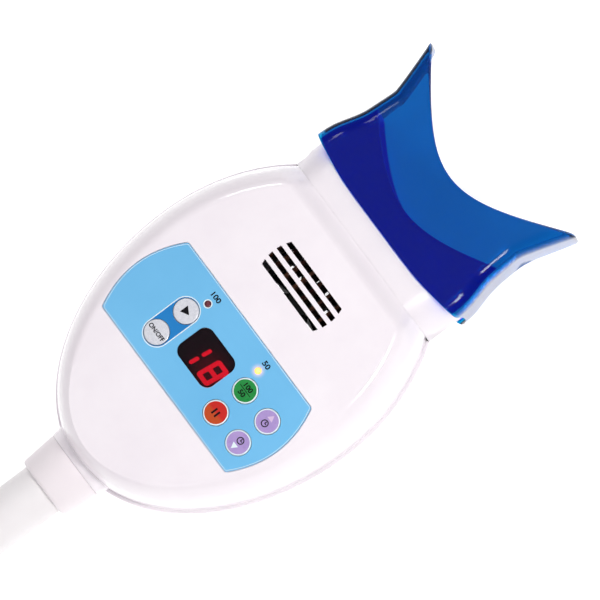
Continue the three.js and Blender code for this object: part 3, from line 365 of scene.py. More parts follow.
def around(tone, spread=6):
    # two neighbouring tones of one colour
    low = tint(*[max(0, c - spread) for c in tone])
    high = tint(*[min(255, c + spread) for c in tone])
    return low, high


shellWhite = finishOf("shellWhite", (tint(245, 238, 244), tint(250, 244, 249)), 0.16, bump=0.04, coat=0.3)
bandWhite = finishOf("bandWhite", (tint(240, 234, 240), tint(245, 239, 244)), 0.36, bump=0.06, scuff=0.08)
collarWhite = finishOf("collarWhite", (tint(244, 236, 240), tint(248, 241, 244)), 0.34, bump=0.06, scuff=0.1)
tubeWhite = finishOf("tubeWhite", (tint(244, 240, 241), tint(248, 245, 246)), 0.36, grain=2600, bump=0.08,
                     scuff=0.1)
steel = finishOf("brushedSteel", around((168, 170, 174)), 0.3, grain=900, metal=1, bump=0.15,
                 stretch=(0.06, 1, 1), depth=0.00004)
screwSteel = finishOf("screwSteel", around((150, 152, 156)), 0.35, grain=2200, metal=1, bump=0.1)
reflectorBright = finishOf("reflectorBright", around((214, 216, 222)), 0.14, grain=700, metal=1, bump=0.08)
boardWhite = finishOf("boardWhite", around((228, 230, 228)), 0.45, grain=1800)
boardGreen = finishOf("boardGreen", around((24, 92, 52)), 0.4, grain=1100, bump=0.12)
switchGrey = finishOf("switchGrey", around((86, 88, 92)), 0.5, grain=2000)
terminalGreen = finishOf("terminalGreen", around((40, 128, 70)), 0.45, grain=1800)
blackPlastic = finishOf("blackPlastic", around((24, 23, 26), 4), 0.42, grain=1700, bump=0.12)
cableGrey = finishOf("cableGrey", around((122, 122, 126)), 0.5, grain=1900, bump=0.12)
cableRed = finishOf("cableRed", around((168, 32, 30)), 0.45, grain=1900, bump=0.12)
bushNylon = finishOf("bushNylon", around((224, 218, 204)), 0.5, grain=1500)
washerRubber = finishOf("washerRubber", around((40, 40, 42)), 0.7, grain=1500, bump=0.2)
nutBrass = finishOf("nutBrass", around((186, 148, 78)), 0.3, grain=1300, metal=1, stretch=(1, 0.2, 0.2))
lensClear = finishOf("lensClear", around((236, 242, 246), 3), 0.05, clear=1, index=1.46, bump=0.02)
shieldBlue = finishOf("shieldBlue", (tint(0, 84, 158), tint(0, 88, 164)), 0.09, blotch=26, grain=420,
                      clear=0.96, index=1.22, bump=0.01, stretch=(0.3, 1, 1))
windowSmoked = finishOf("windowSmoked", around((142, 60, 112), 4), 0.05, clear=1, index=1.2, bump=0.01)
linerBluePaintedGlow = finishOf("linerBluePaintedGlow", around((52, 40, 214), 5), 0.45, grain=1500)
# the liner's emission is a painted glow, standing in for light scattered in the blue plastic
painted(linerBluePaintedGlow, [("Emission Color", tint(40, 22, 255)), ("Emission Strength", 0.42)])
printWhite = finishOf("printWhite", around((232, 246, 252), 4), 0.4, grain=3000)
printBlack = finishOf("printBlack", around((10, 8, 16), 3), 0.5, grain=3000)
printBlue = finishOf("printBlue", (tint(26, 124, 196), tint(34, 134, 206)), 0.38, grain=2400)
keySilver = finishOf("keySilver", (tint(208, 210, 219), tint(224, 226, 232)), 0.3, blotch=900, grain=2600,
                     metal=0.15, bump=0.1, coat=0.2)
keyGreen = finishOf("keyGreen", (tint(16, 130, 56), tint(38, 146, 68)), 0.36, blotch=160, grain=2600)
keyLavender = finishOf("keyLavender", (tint(166, 142, 204), tint(178, 152, 212)), 0.36, blotch=160,
                       grain=2600)
printPale = finishOf("printPale", around((214, 190, 222), 4), 0.4, grain=3000)
floorPale = finishOf("floorPale", around((204, 204, 204), 2), 0.08, blotch=3, grain=60, bump=0.004)
painted(floorPale, [("Emission Color", (1, 1, 1, 1)), ("Emission Strength", 0.78)])
floor.data.materials.append(floorPale)
print("plain finishes")


def sinkFinish():
    # dark brown metal with a few light flecks that are painted highlights
    material, where = startMaterial("sinkMetal")
    slow = noise(where, 90, 2)
    fleck = noise(where, 240, 3, 0.6)
    dark = blendTones(ranged(slow, 0.4, 0.6, 0, 1), tint(64, 30, 28), tint(122, 82, 64))
    paintedGlintShare = ranged(fleck, 0.655, 0.69, 0, 1)
    return painted(material, [
        # the light grey flecks are painted highlights
        ("Base Color", blendTones(paintedGlintShare, dark, tint(176, 168, 162))),
        ("Roughness", ranged(fleck, 0.3, 0.7, 0.8, 0.65)),
        ("Normal", grained(fleck, 0.15)),
    ])


def splitKeyRed():
    # the pause key: red towards the shield, orange towards the arm
    material, where = startMaterial("keyRed")
    along = addNode("ShaderNodeSeparateXYZ", [(0, where)]).outputs["X"]
    share = ranged(along, 0.1402, 0.1416, 0, 1)
    speck = noise(where, 2400, 3)
    low = blendTones(speck, tint(190, 70, 24), tint(200, 80, 32))
    high = blendTones(speck, tint(196, 32, 26), tint(206, 40, 32))
    return painted(material, [
        ("Base Color", blendTones(share, low, high)),
        ("Roughness", ranged(speck, 0, 1, 0.32, 0.44)),
        ("Normal", grained(speck, 0.06)),
        ("Specular IOR Level", 0.2),
    ])


def glowing(name, tone, edgeTone, strength, centre, reach):
    # a lit body, brightest at its centre
    material, where = startMaterial(name)
    share = ranged(awayFrom(where, centre), 0, reach, 0, 1)
    speck = noise(where, 1800, 2)
    colour = blendTones(share, tone, edgeTone)
    return painted(material, [
        ("Base Color", colour), ("Emission Color", colour), ("Emission Strength", strength),
        ("Roughness", ranged(speck, 0, 1, 0.15, 0.3)),
        ("Normal", grained(speck, 0.05)),
    ])


def filmFinish():
    # satin film, with a painted glow of the lit indicator around it
    material, where = startMaterial("filmBlue")
    slow = noise(where, 26, 4)
    fine = noise(where, 3400, 2)
    drift = ranged(slow, 0.3, 0.7, 0, 1)
    paintedGlow = paintedGlowAt(where, (0.16765, -0.0189, 0.0333), 0.0013, 0.0040, 1.8)
    return painted(material, [
        ("Base Color", blendTones(drift, tint(104, 186, 234), tint(112, 193, 240))),
        ("Roughness", ranged(fine, 0.3, 0.7, 0.34, 0.46)),
        ("Normal", grained(fine, 0.08)),
        # painted glow: emission around the lit indicator stands in for its light on the film
        ("Emission Color", blendTones(paintedGlow, (0, 0, 0, 1), tint(255, 150, 110))),
        ("Emission Strength", 0.7),
    ])


def displayFinish():
    # black face with a painted dim glow of the lit digits around them
    material, where = startMaterial("displayBlack")
    speck = noise(where, 1700, 3)
    paintedGlow = paintedGlowAt(where, (0.1506, -0.0048, 0.029), 0.004, 0.0115, 1.6)
    return painted(material, [
        ("Base Color", blendTones(speck, tint(14, 10, 14), tint(22, 15, 21))),
        ("Roughness", ranged(speck, 0.3, 0.7, 0.45, 0.6)),
        ("Normal", grained(speck, 0.06)),
        # painted glow: red emission near the digits stands in for their light on the face
        ("Emission Color", blendTones(paintedGlow, tint(10, 5, 14), tint(96, 10, 22))),
        ("Emission Strength", 1),
    ])


displayBlack = displayFinish()
sinkMetal = sinkFinish()
dullFinishes = {sinkMetal: 0.1, printBlack: 0.12, printBlue: 0.2, keyGreen: 0.2}
for material, share in dullFinishes.items():
    painted(material, [("Specular IOR Level", share)])
keyRed = splitKeyRed()
filmBlue = filmFinish()
digitRed = glowing("digitRed", tint(255, 60, 60), tint(255, 60, 60), 2.2, (0.1506, -0.004, 0.029), 0.01)
indicatorLit = glowing("indicatorLit", tint(255, 238, 130), tint(255, 196, 84), 1.0,
                       (0.16765, -0.0189, 0.0339), 0.0018)
indicatorDark = finishOf("indicatorDark", (tint(86, 22, 38), tint(120, 44, 58)), 0.16, blotch=500, grain=2600)
print("keypad finishes")


def dress(piece, *materials):
    piece.data.materials.clear()
    for material in materials:
        piece.data.materials.append(material)


def dressFaces(piece, index, rule):
    for face in piece.data.polygons:
        if rule(face):
            face.material_index = index


# head shells

egg = {
    "centreX": 0.176, "rear": 0.1, "front": 0.0896, "half": 0.07, "partingZ": -0.008,
    "points": 176, "levels": 14, "crease": 82, "squareness": 0.8, "sideRim": 0.0132, "rearRim": 0.0082,
    "mouthX": 0.2378, "slopeX": 0.2285, "slopeSteps": 8, "wall": 0.0025,
    "upperInset": 0.0017, "topInsets": (0.0016, 0.004),
}
upperSide = {"side": 1, "farZ": 0.033, "mouthZ": 0.0285, "edgeZ": -0.008}
lowerSide = {"side": -1, "farZ": -0.03, "mouthZ": -0.028, "edgeZ": -0.0083}


def resizeEgg(piece, reach, newReach, atZ):
    # the rear and the front half are drawn in by their own shares
    centre = (egg["centreX"], 0, atZ)
    shares = [new / old for new, old in zip(newReach, reach)]
    bpy.ops.transform.resize(value=(1, shares[2], 1), center_override=centre)
    chosen = [v.index for v in bmesh.from_edit_mesh(piece.data).verts if v.select]
    for share, sign in ((shares[0], -1), (shares[1], 1)):
        mesh = bmesh.from_edit_mesh(piece.data)
        mesh.verts.ensure_lookup_table()
        picked = {i for i in chosen if (mesh.verts[i].co.x - egg["centreX"]) * sign > tiny / 10}
        choose(piece, lambda v: v.index in picked)
        bpy.ops.transform.resize(value=(share, 1, 1), center_override=centre)
    picked = set(chosen)
    choose(piece, lambda v: v.index in picked)


def eggLoop(name, inset, z):
    # the egg's outline at one height, drawn in by the inset; its editing stays open
    bpy.ops.mesh.primitive_circle_add(vertices=egg["points"], radius=egg["half"],
                                      location=(egg["centreX"], 0, z))
    piece = settle(name)
    openEdit(piece)
    selectAll()
    reach = tuple(egg[way] - inset for way in ("rear", "front", "half"))
    resizeEgg(piece, (egg["half"],) * 3, reach, z)
    return piece, reach


def creaseShare(angle):
    # how far the skin has turned in at this angle, from 0 at its edge to 1 at its crease
    full = math.radians(egg["crease"])
    return (1 - math.cos(angle) ** egg["squareness"]) / (1 - math.cos(full) ** egg["squareness"])


def sliceAt(x, way, clear=True):
    # cuts across the head; what lies beyond the cut can go
    selectAll()
    bpy.ops.mesh.bisect(plane_co=(x, 0, 0), plane_no=(way, 0, 0), clear_outer=clear, threshold=tiny)


def eggSkin(name, half, edgeInset=0.0):
    # one half of the egg as a skin, open at the parting plane and at the mouth
    piece, now = eggLoop(name, edgeInset, egg["partingZ"])
    reaches = (egg["rear"], egg["front"], egg["half"])
    rims = (egg["rearRim"], egg["sideRim"], egg["sideRim"])
    rise = abs(half["farZ"] - egg["partingZ"])
    crease = math.radians(egg["crease"])
    height = 0
    for level in range(1, egg["levels"] + 1):
        angle = crease * level / egg["levels"]
        newHeight = rise * (math.sin(angle) / math.sin(crease)) ** egg["squareness"]
        drawnIn = [mix(edgeInset, rim, creaseShare(angle)) for rim in rims]
        then = tuple(reach - inset for reach, inset in zip(reaches, drawnIn))
        pushOut((0, 0, half["side"] * (newHeight - height)))
        resizeEgg(piece, now, then, egg["partingZ"])
        now, height = then, newHeight
    bpy.ops.mesh.select_mode(type="EDGE")
    bpy.ops.mesh.edge_face_add()
    bpy.ops.mesh.select_mode(type="FACE")
    for width in egg["topInsets"]:
        bpy.ops.mesh.inset(thickness=width)
    for step in range(egg["slopeSteps"] + 1):
        x = mix(egg["slopeX"], egg["mouthX"], step / egg["slopeSteps"])
        sliceAt(x, 1, step == egg["slopeSteps"])
    closeEdit()
    mouthRise = abs(half["mouthZ"] - egg["partingZ"])

    def slope(co):
        share = mix(rise, mouthRise, smoothStep(co.x, egg["slopeX"], egg["mouthX"])) / rise
        return Vector((co.x, co.y, egg["partingZ"] + (co.z - egg["partingZ"]) * share))

    moveEach(piece, slope)
    faceOut(piece)
    cap = max(piece.data.polygons, key=lambda face: face.area)
    if cap.normal.z * half["side"] < 0:
        openEdit(piece)
        selectAll()
        bpy.ops.mesh.flip_normals()
        closeEdit()
    return piece


def thickShell(piece, half):
    # the wall stands inside the skin; the skin's edge is first drawn to its own height
    def edge(co):
        if abs(co.z - egg["partingZ"]) < tiny:
            co.z = half["edgeZ"]
        return co

    moveEach(piece, edge)
    thicken(piece, egg["wall"])


upperShell = eggSkin("upper_shell", upperSide, egg["upperInset"])
upperSkin = twin(upperShell, "upper_skin")
upperLoop = eggSkin("upper_loop", upperSide)
lowerShell = eggSkin("lower_shell", lowerSide)
lowerLoop = twin(lowerShell, "lower_loop")
thickShell(upperShell, upperSide)
thickShell(lowerShell, lowerSide)
print("head shells")


# what is cut in the shells and in the film

panel = {
    "x": 0.15275, "half": 0.02425, "cornerY": 0.0468, "endY": 0.0534, "segments": 24,
    "corner": 0.0007, "gap": 0.00032, "floorZ": 0.0322, "lowZ": 0.0325, "topZ": 0.0333,
    "cutLowZ": 0.026, "cutHighZ": 0.036,
}
keys = {
    "on_off": (0.14135, 0.0227), "start": (0.15765, 0.0223), "high_low": (0.15765, -0.0227),
    "pause": (0.14105, -0.0227), "time_up": (0.15735, -0.0399), "time_down": (0.14105, -0.0397),
}
holeRadius = {"key": 0.00615, "indicator": 0.0016}
window = {"x": 0.15245, "width": 0.0191, "length": 0.0241, "corner": 0.0045, "gap": 0.0001,
          "lowZ": 0.0293, "topZ": 0.0333}
indicators = {"high": (0.16755, 0.0191), "low": (0.16765, -0.0189)}
vent = {"x": 0.2063, "pitch": 0.00476, "slot": 0.0025, "round": 0.0209, "count": 4,
        "midZ": 0.0325, "length": 0.04, "deep": 0.012}


def panelPlate(name, grow, lowZ, highZ):
    # a rectangle with bowed ends, raised between two heights, or a face where they are the same
    bpy.ops.mesh.primitive_plane_add(size=2, location=(panel["x"], 0, lowZ))
    bpy.ops.transform.resize(value=(panel["half"] + grow, panel["cornerY"] + grow, 1),
                             center_override=(panel["x"], 0, lowZ))
    piece = settle(name)
    openEdit(piece)
    choose(piece, lambda edge: abs(edge.verts[0].co.y - edge.verts[1].co.y) < tiny, "EDGE")
    bpy.ops.mesh.subdivide(number_cuts=panel["segments"] - 1)
    closeEdit()
    bow = panel["endY"] - panel["cornerY"]

    def bowed(co):
        share = 1 - ((co.x - panel["x"]) / (panel["half"] + grow)) ** 2
        co.y += math.copysign(bow * share, co.y)
        return co

    moveEach(piece, bowed)
    openEdit(piece)
    choose(piece, lambda v: abs(abs(v.co.x - panel["x"]) - panel["half"] - grow) < tiny)
    bpy.ops.mesh.bevel(offset=panel["corner"] + max(0, grow), segments=4, affect="VERTICES")
    closeEdit()
    return raised(piece, highZ - lowZ) if highZ > lowZ else piece


def roundedPlate(name, x, y, width, length, corner, lowZ, highZ):
    piece = flatRect(name, (x, y, lowZ), width, length)
    roundCorners(piece, corner, 10)
    return raised(piece, highZ - lowZ)


def roundCutter(name, x, y, radius, lowZ, highZ, points=64):
    bpy.ops.mesh.primitive_cylinder_add(vertices=points, radius=radius, depth=highZ - lowZ,
                                        location=(x, y, (lowZ + highZ) / 2))
    return settle(name)


def keypadCutter(name):
    lowZ, highZ = panel["cutLowZ"], panel["cutHighZ"]
    parts = [roundCutter("hole", x, y, holeRadius["key"], lowZ, highZ, 96) for x, y in keys.values()]
    parts += [roundCutter("hole", x, y, holeRadius["indicator"], lowZ, highZ) for x, y in indicators.values()]
    gap = window["gap"]
    parts.append(roundedPlate("hole", window["x"], 0, window["width"] + 2 * gap, window["length"] + 2 * gap,
                              window["corner"] + gap, lowZ, highZ))
    return joinUp(name, *parts)


def rowOffsets(row):
    # equal steps on both sides of a middle
    return [(i - (row["count"] - 1) / 2) * row["pitch"] for i in range(row["count"])]


def ventCutter(name):
    parts = []
    for offset in rowOffsets(vent):
        centre = (vent["x"] + offset, 0, vent["midZ"])
        bpy.ops.mesh.primitive_cube_add(size=1, location=centre)
        bpy.ops.transform.resize(value=(vent["slot"], vent["length"], vent["deep"]), center_override=centre)
        slot = settle("slot")

        def rounded(co):
            co.y = math.copysign(math.sqrt(vent["round"] ** 2 - (co.x - vent["x"]) ** 2), co.y)
            return co

        moveEach(slot, rounded)
        parts.append(slot)
    return joinUp(name, *parts)


recess = panelPlate("recess", panel["gap"], panel["floorZ"], panel["cutHighZ"])
holes = keypadCutter("keypad_holes")
slots = ventCutter("vent_slots")
neck = turnedPiece("neck_cut", [[0.07, 0.0116], [0.09, 0.0116]], points=64)
for cutter in (recess, holes, slots, neck):
    cutWith(upperShell, cutter)
cutWith(lowerShell, neck)

inlet = {"x": 0.205, "pitch": 0.0054, "slot": 0.0024, "radius": 0.017, "count": 6, "corner": 0.00115,
         "lowZ": -0.034, "highZ": -0.025}
# outer and bore are a radius and two heights
screwHoles = {
    "places": [(0.102, 0.024), (0.102, -0.024), (0.204, 0.048), (0.204, -0.048)],
    "outer": (0.0046, -0.0285, -0.0165), "bore": (0.0029, -0.034, -0.019),
}


def inletCutter(name):
    parts = []
    for offset in rowOffsets(inlet):
        half = math.sqrt(inlet["radius"] ** 2 - offset ** 2)
        parts.append(roundedPlate("slot", inlet["x"] + offset, 0, inlet["slot"], 2 * half, inlet["corner"],
                                  inlet["lowZ"], inlet["highZ"]))
    return joinUp(name, *parts)


def screwWells(name, radius, lowZ, highZ):
    wells = [roundCutter("well", x, y, radius, lowZ, highZ, 48) for x, y in screwHoles["places"]]
    return joinUp(name, *wells)


inletSlots = inletCutter("inlet_slots")
cutWith(lowerShell, inletSlots)
wellOuter = screwWells("well_outer", *screwHoles["outer"])
wells = screwWells("wells", *screwHoles["bore"])
cutWith(lowerShell, wellOuter, "UNION")
cutWith(lowerShell, wells)
print("openings in the shells")


# tongue behind the seam

tongue = {"inset": 0.0028, "lowZ": -0.012, "highZ": -0.006, "wall": 0.0012, "startX": 0.0905, "endX": 0.2318}
rib, _ = eggLoop("tongue", tongue["inset"], tongue["lowZ"])
pushOut((0, 0, tongue["highZ"] - tongue["lowZ"]))
sliceAt(tongue["endX"], 1)
sliceAt(tongue["startX"], -1)
closeEdit()
thicken(rib, tongue["wall"])
faceOut(rib)
lowerShell = joinUp("lower_shell", lowerShell, rib)
print("tongue")

for shell, node in ((upperShell, "upper_housing"), (lowerShell, "lower_housing")):
    evenShade(shell, 28)
    dress(shell, shellWhite)
    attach(shell, "head")
    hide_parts(node)


# mouth section, which the band, the clear cover and the shield follow

mouth = {"halfWidth": 0.050685, "halfHeight": 0.02825, "midZ": 0.00025,
         "merge": 0.00002, "longEdge": 0.006, "cuts": 63}


def mouthLoop(name):
    loop = joinUp(name, twin(upperLoop, name), twin(lowerLoop, name + "_low"))
    openEdit(loop)
    choose(loop, lambda v: abs(v.co.x - egg["mouthX"]) > 10 * tiny)
    bpy.ops.mesh.delete(type="VERT")
    selectAll()
    bpy.ops.mesh.remove_doubles(threshold=mouth["merge"])
    choose(loop, lambda edge: edge.calc_length() > mouth["longEdge"], "EDGE")
    bpy.ops.mesh.subdivide(number_cuts=mouth["cuts"])
    closeEdit()
    return loop


def shrunk(co, inset):
    # the section drawn in on all sides
    y = co.y * (mouth["halfWidth"] - inset) / mouth["halfWidth"]
    z = mouth["midZ"] + (co.z - mouth["midZ"]) * (mouth["halfHeight"] - inset) / mouth["halfHeight"]
    return y, z


def loftLoop(name, rows, placeRow):
    # the mouth loop is pushed out row by row, each row goes to its place, and the last joins the first
    piece = mouthLoop(name)
    openEdit(piece)
    bpy.ops.mesh.select_mode(type="EDGE")
    selectAll()
    for row in range(1, rows):
        pushOut((0.001, 0, 0))
    closeEdit()
    order = {}
    for vert in piece.data.vertices:
        key = (round(vert.co.y, 6), round(vert.co.z, 6))
        order.setdefault(key, []).append(vert.index)
    for column in order.values():
        column.sort(key=lambda i: piece.data.vertices[i].co.x)
        start = piece.data.vertices[column[0]].co.copy()
        for row, index in enumerate(column):
            piece.data.vertices[index].co = placeRow(start, row)
    piece.data.update()
    openEdit(piece)
    chooseOpenEdges()
    bpy.ops.mesh.bridge_edge_loops()
    closeEdit()
    faceOut(piece)
    return piece


# band

band = {
    "bandX": 0.23785, "frontX": 0.2492, "cheek": 0.0075, "cheekPower": 5,
    "spigotX": 0.2562, "ledgeX": 0.241, "tailX": 0.2323,
    "step": 0.0023, "bore": 0.0049, "throat": 0.0069, "tail": 0.0028,
    "lap": 0.0021, "lapZ": (-0.008, -0.004), "rows": 11,
}


def bandFront(y):
    share = min(1, abs(y) / mouth["halfWidth"])
    return band["frontX"] + band["cheek"] * share ** band["cheekPower"]


def lapAt(z):
    # how far the upper shell's mouth stands inside the full section at this height
    height = min(1, max(0, (z - egg["partingZ"]) / (upperSide["mouthZ"] - egg["partingZ"])))
    angle = math.asin(height ** (1 / egg["squareness"]) * math.sin(math.radians(egg["crease"])))
    return band["lap"] * (1 - creaseShare(angle)) * smoothStep(z, *band["lapZ"])


def bandRow(start, row):
    # the band's section, from its rear edge over the front and back through the bore
    front = bandFront(start.y)
    rows = [
        (band["bandX"], 0), (mix(band["bandX"], front, 0.5), 0), (front, 0), (front, band["step"]),
        (band["spigotX"], band["step"]), (band["spigotX"], band["bore"]), (band["ledgeX"], band["bore"]),
        (band["ledgeX"], band["throat"]), (band["tailX"], band["throat"]), (band["tailX"], band["tail"]),
        (band["bandX"], band["tail"]),
    ]
    x, inset = rows[row]
    y, z = shrunk(start, inset)
    if row == 0:
        y -= math.copysign(lapAt(z), y)
    x = max(x, front) if inset == band["step"] else x
    return Vector((x, y, z))


bandPiece = loftLoop("front_band", band["rows"], bandRow)
bevelEdges(bandPiece, 0.00015)
smoothOver(bandPiece)
dress(bandPiece, bandWhite)
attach(bandPiece, "head")
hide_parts("nozzle_ring")
print("band")


# clear cover before the light source

cover = {"rearX": 0.2413, "frontX": 0.2438, "inset": 0.0052}
coverPiece = mouthLoop("clear_cover")
moveEach(coverPiece, lambda co: Vector((cover["rearX"], *shrunk(co, cover["inset"]))))
openEdit(coverPiece)
bpy.ops.mesh.select_mode(type="EDGE")
selectAll()
bpy.ops.mesh.edge_face_add()
selectAll()
pushOut((cover["frontX"] - cover["rearX"], 0, 0))
closeEdit()
faceOut(coverPiece)
bevelEdges(coverPiece, 0.0003)
smoothOver(coverPiece)
dress(coverPiece, lensClear)
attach(coverPiece, "head")
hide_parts("lens_cover")
print("clear cover")


# light shield

shield = {
    "bandX": 0.2381, "waistX": 0.293, "tipX": 0.321, "waistHalf": 0.0473, "tipHalf": 0.0561,
    "tipRise": 0.0015, "flarePower": 1.08, "wall": 0.002, "rows": 26, "boxiness": 11, "rearGap": 0.0003,
    "bulge": (0.003, 0.0015), "bulgeX": (0.2585, 0.2785),
    "upper": (0.2897, 0.031, 0.91), "lower": (0.2615, 0.03, 0.66), "sweep": (-0.028, -0.007),
}
liner = {"edge": (0.2641, 0.034, 0.78), "wall": 0.0011, "gap": 0.0003, "rows": 14, "rearGap": 0.0006}


def halfWidthAt(x):
    if x < shield["waistX"]:
        share = (x - shield["bandX"]) / (shield["waistX"] - shield["bandX"])
        return mix(mouth["halfWidth"], shield["waistHalf"], share)
    share = (x - shield["waistX"]) / (shield["tipX"] - shield["waistX"])
    return mix(shield["waistHalf"], shield["tipHalf"], share ** shield["flarePower"])


def atStation(x, y, z):
    # the section at the mouth, carried forward along the shield's taper and flare
    flare = max(0, x - shield["waistX"]) / (shield["tipX"] - shield["waistX"])
    wide = halfWidthAt(max(x, shield["bandX"])) / mouth["halfWidth"]
    tall = (mouth["halfHeight"] + shield["tipRise"] * flare) / mouth["halfHeight"]
    return Vector((x, y * wide, mouth["midZ"] + (z - mouth["midZ"]) * tall))


def hollowEdge(y, reach, radius, slope):
    # a hollow front edge: its middle's place, its curve's radius, the slope of its sides
    return reach + slope * (math.sqrt(y * y + radius * radius) - radius)


def shieldFront(y, z):
    # the lower wall ends further back than the upper one
    upper, lower = hollowEdge(y, *shield["upper"]), hollowEdge(y, *shield["lower"])
    return mix(lower, upper, smoothStep(z, *shield["sweep"]))


def boxed(y, z):
    # the section with a flatter top and tighter corners
    share = (y / mouth["halfWidth"], (z - mouth["midZ"]) / mouth["halfHeight"])
    power = shield["boxiness"]
    grow = (abs(share[0]) ** power + abs(share[1]) ** power) ** (-1 / power)
    return y * grow, mouth["midZ"] + (z - mouth["midZ"]) * grow


def sleevePlace(x, start, inset):
    # a point of the shield's section at x, this far inside its outer face
    place = atStation(x, *boxed(start.y, start.z))
    swell = 1 - smoothStep(x, *shield["bulgeX"])
    aside, above = [bulge * swell for bulge in shield["bulge"]]
    wide, tall = halfWidthAt(max(x, shield["bandX"])), mouth["halfHeight"]
    place.y *= (wide + aside - inset) / wide
    place.z = mouth["midZ"] + (place.z - mouth["midZ"]) * (tall + above - inset) / tall
    return place


def sleeve(name, rows, insetOut, insetIn, frontAt, rearGap):
    # a sleeve with an outer and an inner wall, from the band to its own front edge
    def placeRow(start, row):
        outer = row < rows
        share = (row if outer else 2 * rows - 1 - row) / (rows - 1)
        rear = bandFront(start.y) + rearGap
        x = rear
        # the front edge depends on the place reached, so it is found in a few rounds
        for _ in range(6):
            place = sleevePlace(x, start, insetOut)
            x = mix(rear, frontAt(place.y, place.z), share)
        return sleevePlace(x, start, insetOut if outer else insetIn)

    return loftLoop(name, 2 * rows, placeRow)


shieldPiece = sleeve("blue_shield", shield["rows"], 0, shield["wall"], shieldFront, shield["rearGap"])
bevelEdges(shieldPiece, 0.0006, 3, 50)
smoothOver(shieldPiece, 50)
dress(shieldPiece, shieldBlue)
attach(shieldPiece, "shield")
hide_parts("light_shield")

linerOut = shield["wall"] + liner["gap"]
linerPiece = sleeve("shield_liner", liner["rows"], linerOut, linerOut + liner["wall"],
                    lambda y, z: hollowEdge(y, *liner["edge"]), liner["rearGap"])
bevelEdges(linerPiece, 0.0003, 2, 50)
smoothOver(linerPiece, 50)
dress(linerPiece, linerBluePaintedGlow)
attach(linerPiece, "shield")
print("light shield")


# collar, tube and coupling

def eggBlock(name, skin):
    # one half of the egg closed, to trim what runs into it
    block = twin(skin, name)
    openEdit(block)

    def atParting(edge):
        return edge.is_boundary and all(abs(v.co.z - egg["partingZ"]) < tiny for v in edge.verts)

    choose(block, atParting, "EDGE")
    bpy.ops.mesh.edge_face_add()
    chooseOpenEdges()
    bpy.ops.mesh.edge_face_add()
    closeEdit()
    faceOut(block)
    return block


collarPiece = turnedPiece("collar", [
    [0.0573, 0.01295], [0.057, 0.0133], [0.057, 0.0139], [0.0573, 0.0147], [0.058, 0.0152],
    [0.0592, 0.01545], [0.066, 0.01605], [0.0747, 0.0168], [0.0751, 0.01672], [0.0752, 0.0163],
    [0.0753, 0.01672], [0.0757, 0.0170], [0.077, 0.0174], [0.08, 0.0178], [0.082, 0.0178],
    [0.082, 0.0113], [0.0705, 0.0113], [0.0705, 0.01295],
], hollow=True)
block = eggBlock("egg_block", upperSkin)
lowBlock = eggBlock("egg_block_low", lowerLoop)
cutWith(collarPiece, block)
cutWith(collarPiece, lowBlock)
smoothOver(collarPiece)
dress(collarPiece, collarWhite, shellWhite)
# the neck ring takes the shell's white
dressFaces(collarPiece, 1, lambda f: f.center.x > 0.0752 and math.hypot(f.center.y, f.center.z) > 0.016)
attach(collarPiece, "head")
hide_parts("rear_collar")

tubePiece = turnedPiece("tube", [
    [0.0142, 0.0111], [0.014, 0.0113], [0.014, 0.0124], [0.0142, 0.0126], [0.0668, 0.0126], [0.067, 0.0124],
    [0.067, 0.0111],
], hollow=True)
smoothOver(tubePiece)
dress(tubePiece, tubeWhite)
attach(tubePiece, "arm")
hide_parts("arm_tube")

couplingPiece = turnedPiece("coupling", [
    [0, 0.0033], [0, 0.0168], [0.0003, 0.0174], [0.001, 0.018], [0.0052, 0.018], [0.0059, 0.0174],
    [0.0075, 0.0158], [0.0105, 0.0142], [0.0137, 0.0136], [0.0137, 0.0108], [0.0257, 0.0108],
    [0.0257, 0.0033],
], hollow=True)
bolts = {"circle": 0.0142, "radius": 0.0017, "count": 4}
drills = []
for i in range(bolts["count"]):
    angle = math.pi / 4 + i * math.pi / 2
    place = (0.003, bolts["circle"] * math.cos(angle), bolts["circle"] * math.sin(angle))
    bpy.ops.mesh.primitive_cylinder_add(vertices=40, radius=bolts["radius"], depth=0.02, location=place,
                                        rotation=(0, math.pi / 2, 0))
    drills.append(settle("drill"))
drill = joinUp("drills", *drills)
cutWith(couplingPiece, drill)
smoothOver(couplingPiece, 35)
dress(couplingPiece, steel)
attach(couplingPiece, "arm")
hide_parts("arm_coupling")
print("collar, tube and coupling")


# keypad film, its print and a painted edge highlight

film = panelPlate("film", 0, panel["lowZ"], panel["topZ"])
cutWith(film, holes)
bevelEdges(film, 0.00022, 3)
evenShade(film, 30)
dress(film, filmBlue)
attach(film, "head")
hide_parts("panel_overlay")

ink = 0.00004
printZ = panel["topZ"]
sizePerHeight = 1.42


def ringInk(piece, width, inner=False):
    # keeps only the rim of a flat face; with inner, what lies inside it
    openEdit(piece)
    bpy.ops.mesh.select_mode(type="FACE")
    selectAll()
    bpy.ops.mesh.inset(thickness=width)
    if inner:
        bpy.ops.mesh.select_all(action="INVERT")
    bpy.ops.mesh.delete(type="FACE")
    closeEdit()
    return raised(piece, ink)


# a thin white line inside the film's edge: a painted highlight of the edge catching light
paintedEdgeHighlight = ringInk(panelPlate("paintedEdgeHighlight", -0.00035, printZ, printZ), 0.0002)


def discFace(name, x, y, radius, points=64, turn=0):
    bpy.ops.mesh.primitive_circle_add(vertices=points, radius=radius, location=(x, y, printZ),
                                      fill_type="NGON", rotation=(0, 0, turn))
    return settle(name)


def pillFace(name, radius):
    (x0, y0), (x1, y1) = keys["on_off"], keys["start"]
    y = (y0 + y1) / 2
    piece = discFace(name, x0, y, radius, points=96)
    openEdit(piece)
    choose(piece, lambda v: v.co.x > x0 - tiny)
    bpy.ops.transform.translate(value=(x1 - x0, 0, 0))
    closeEdit()
    return piece


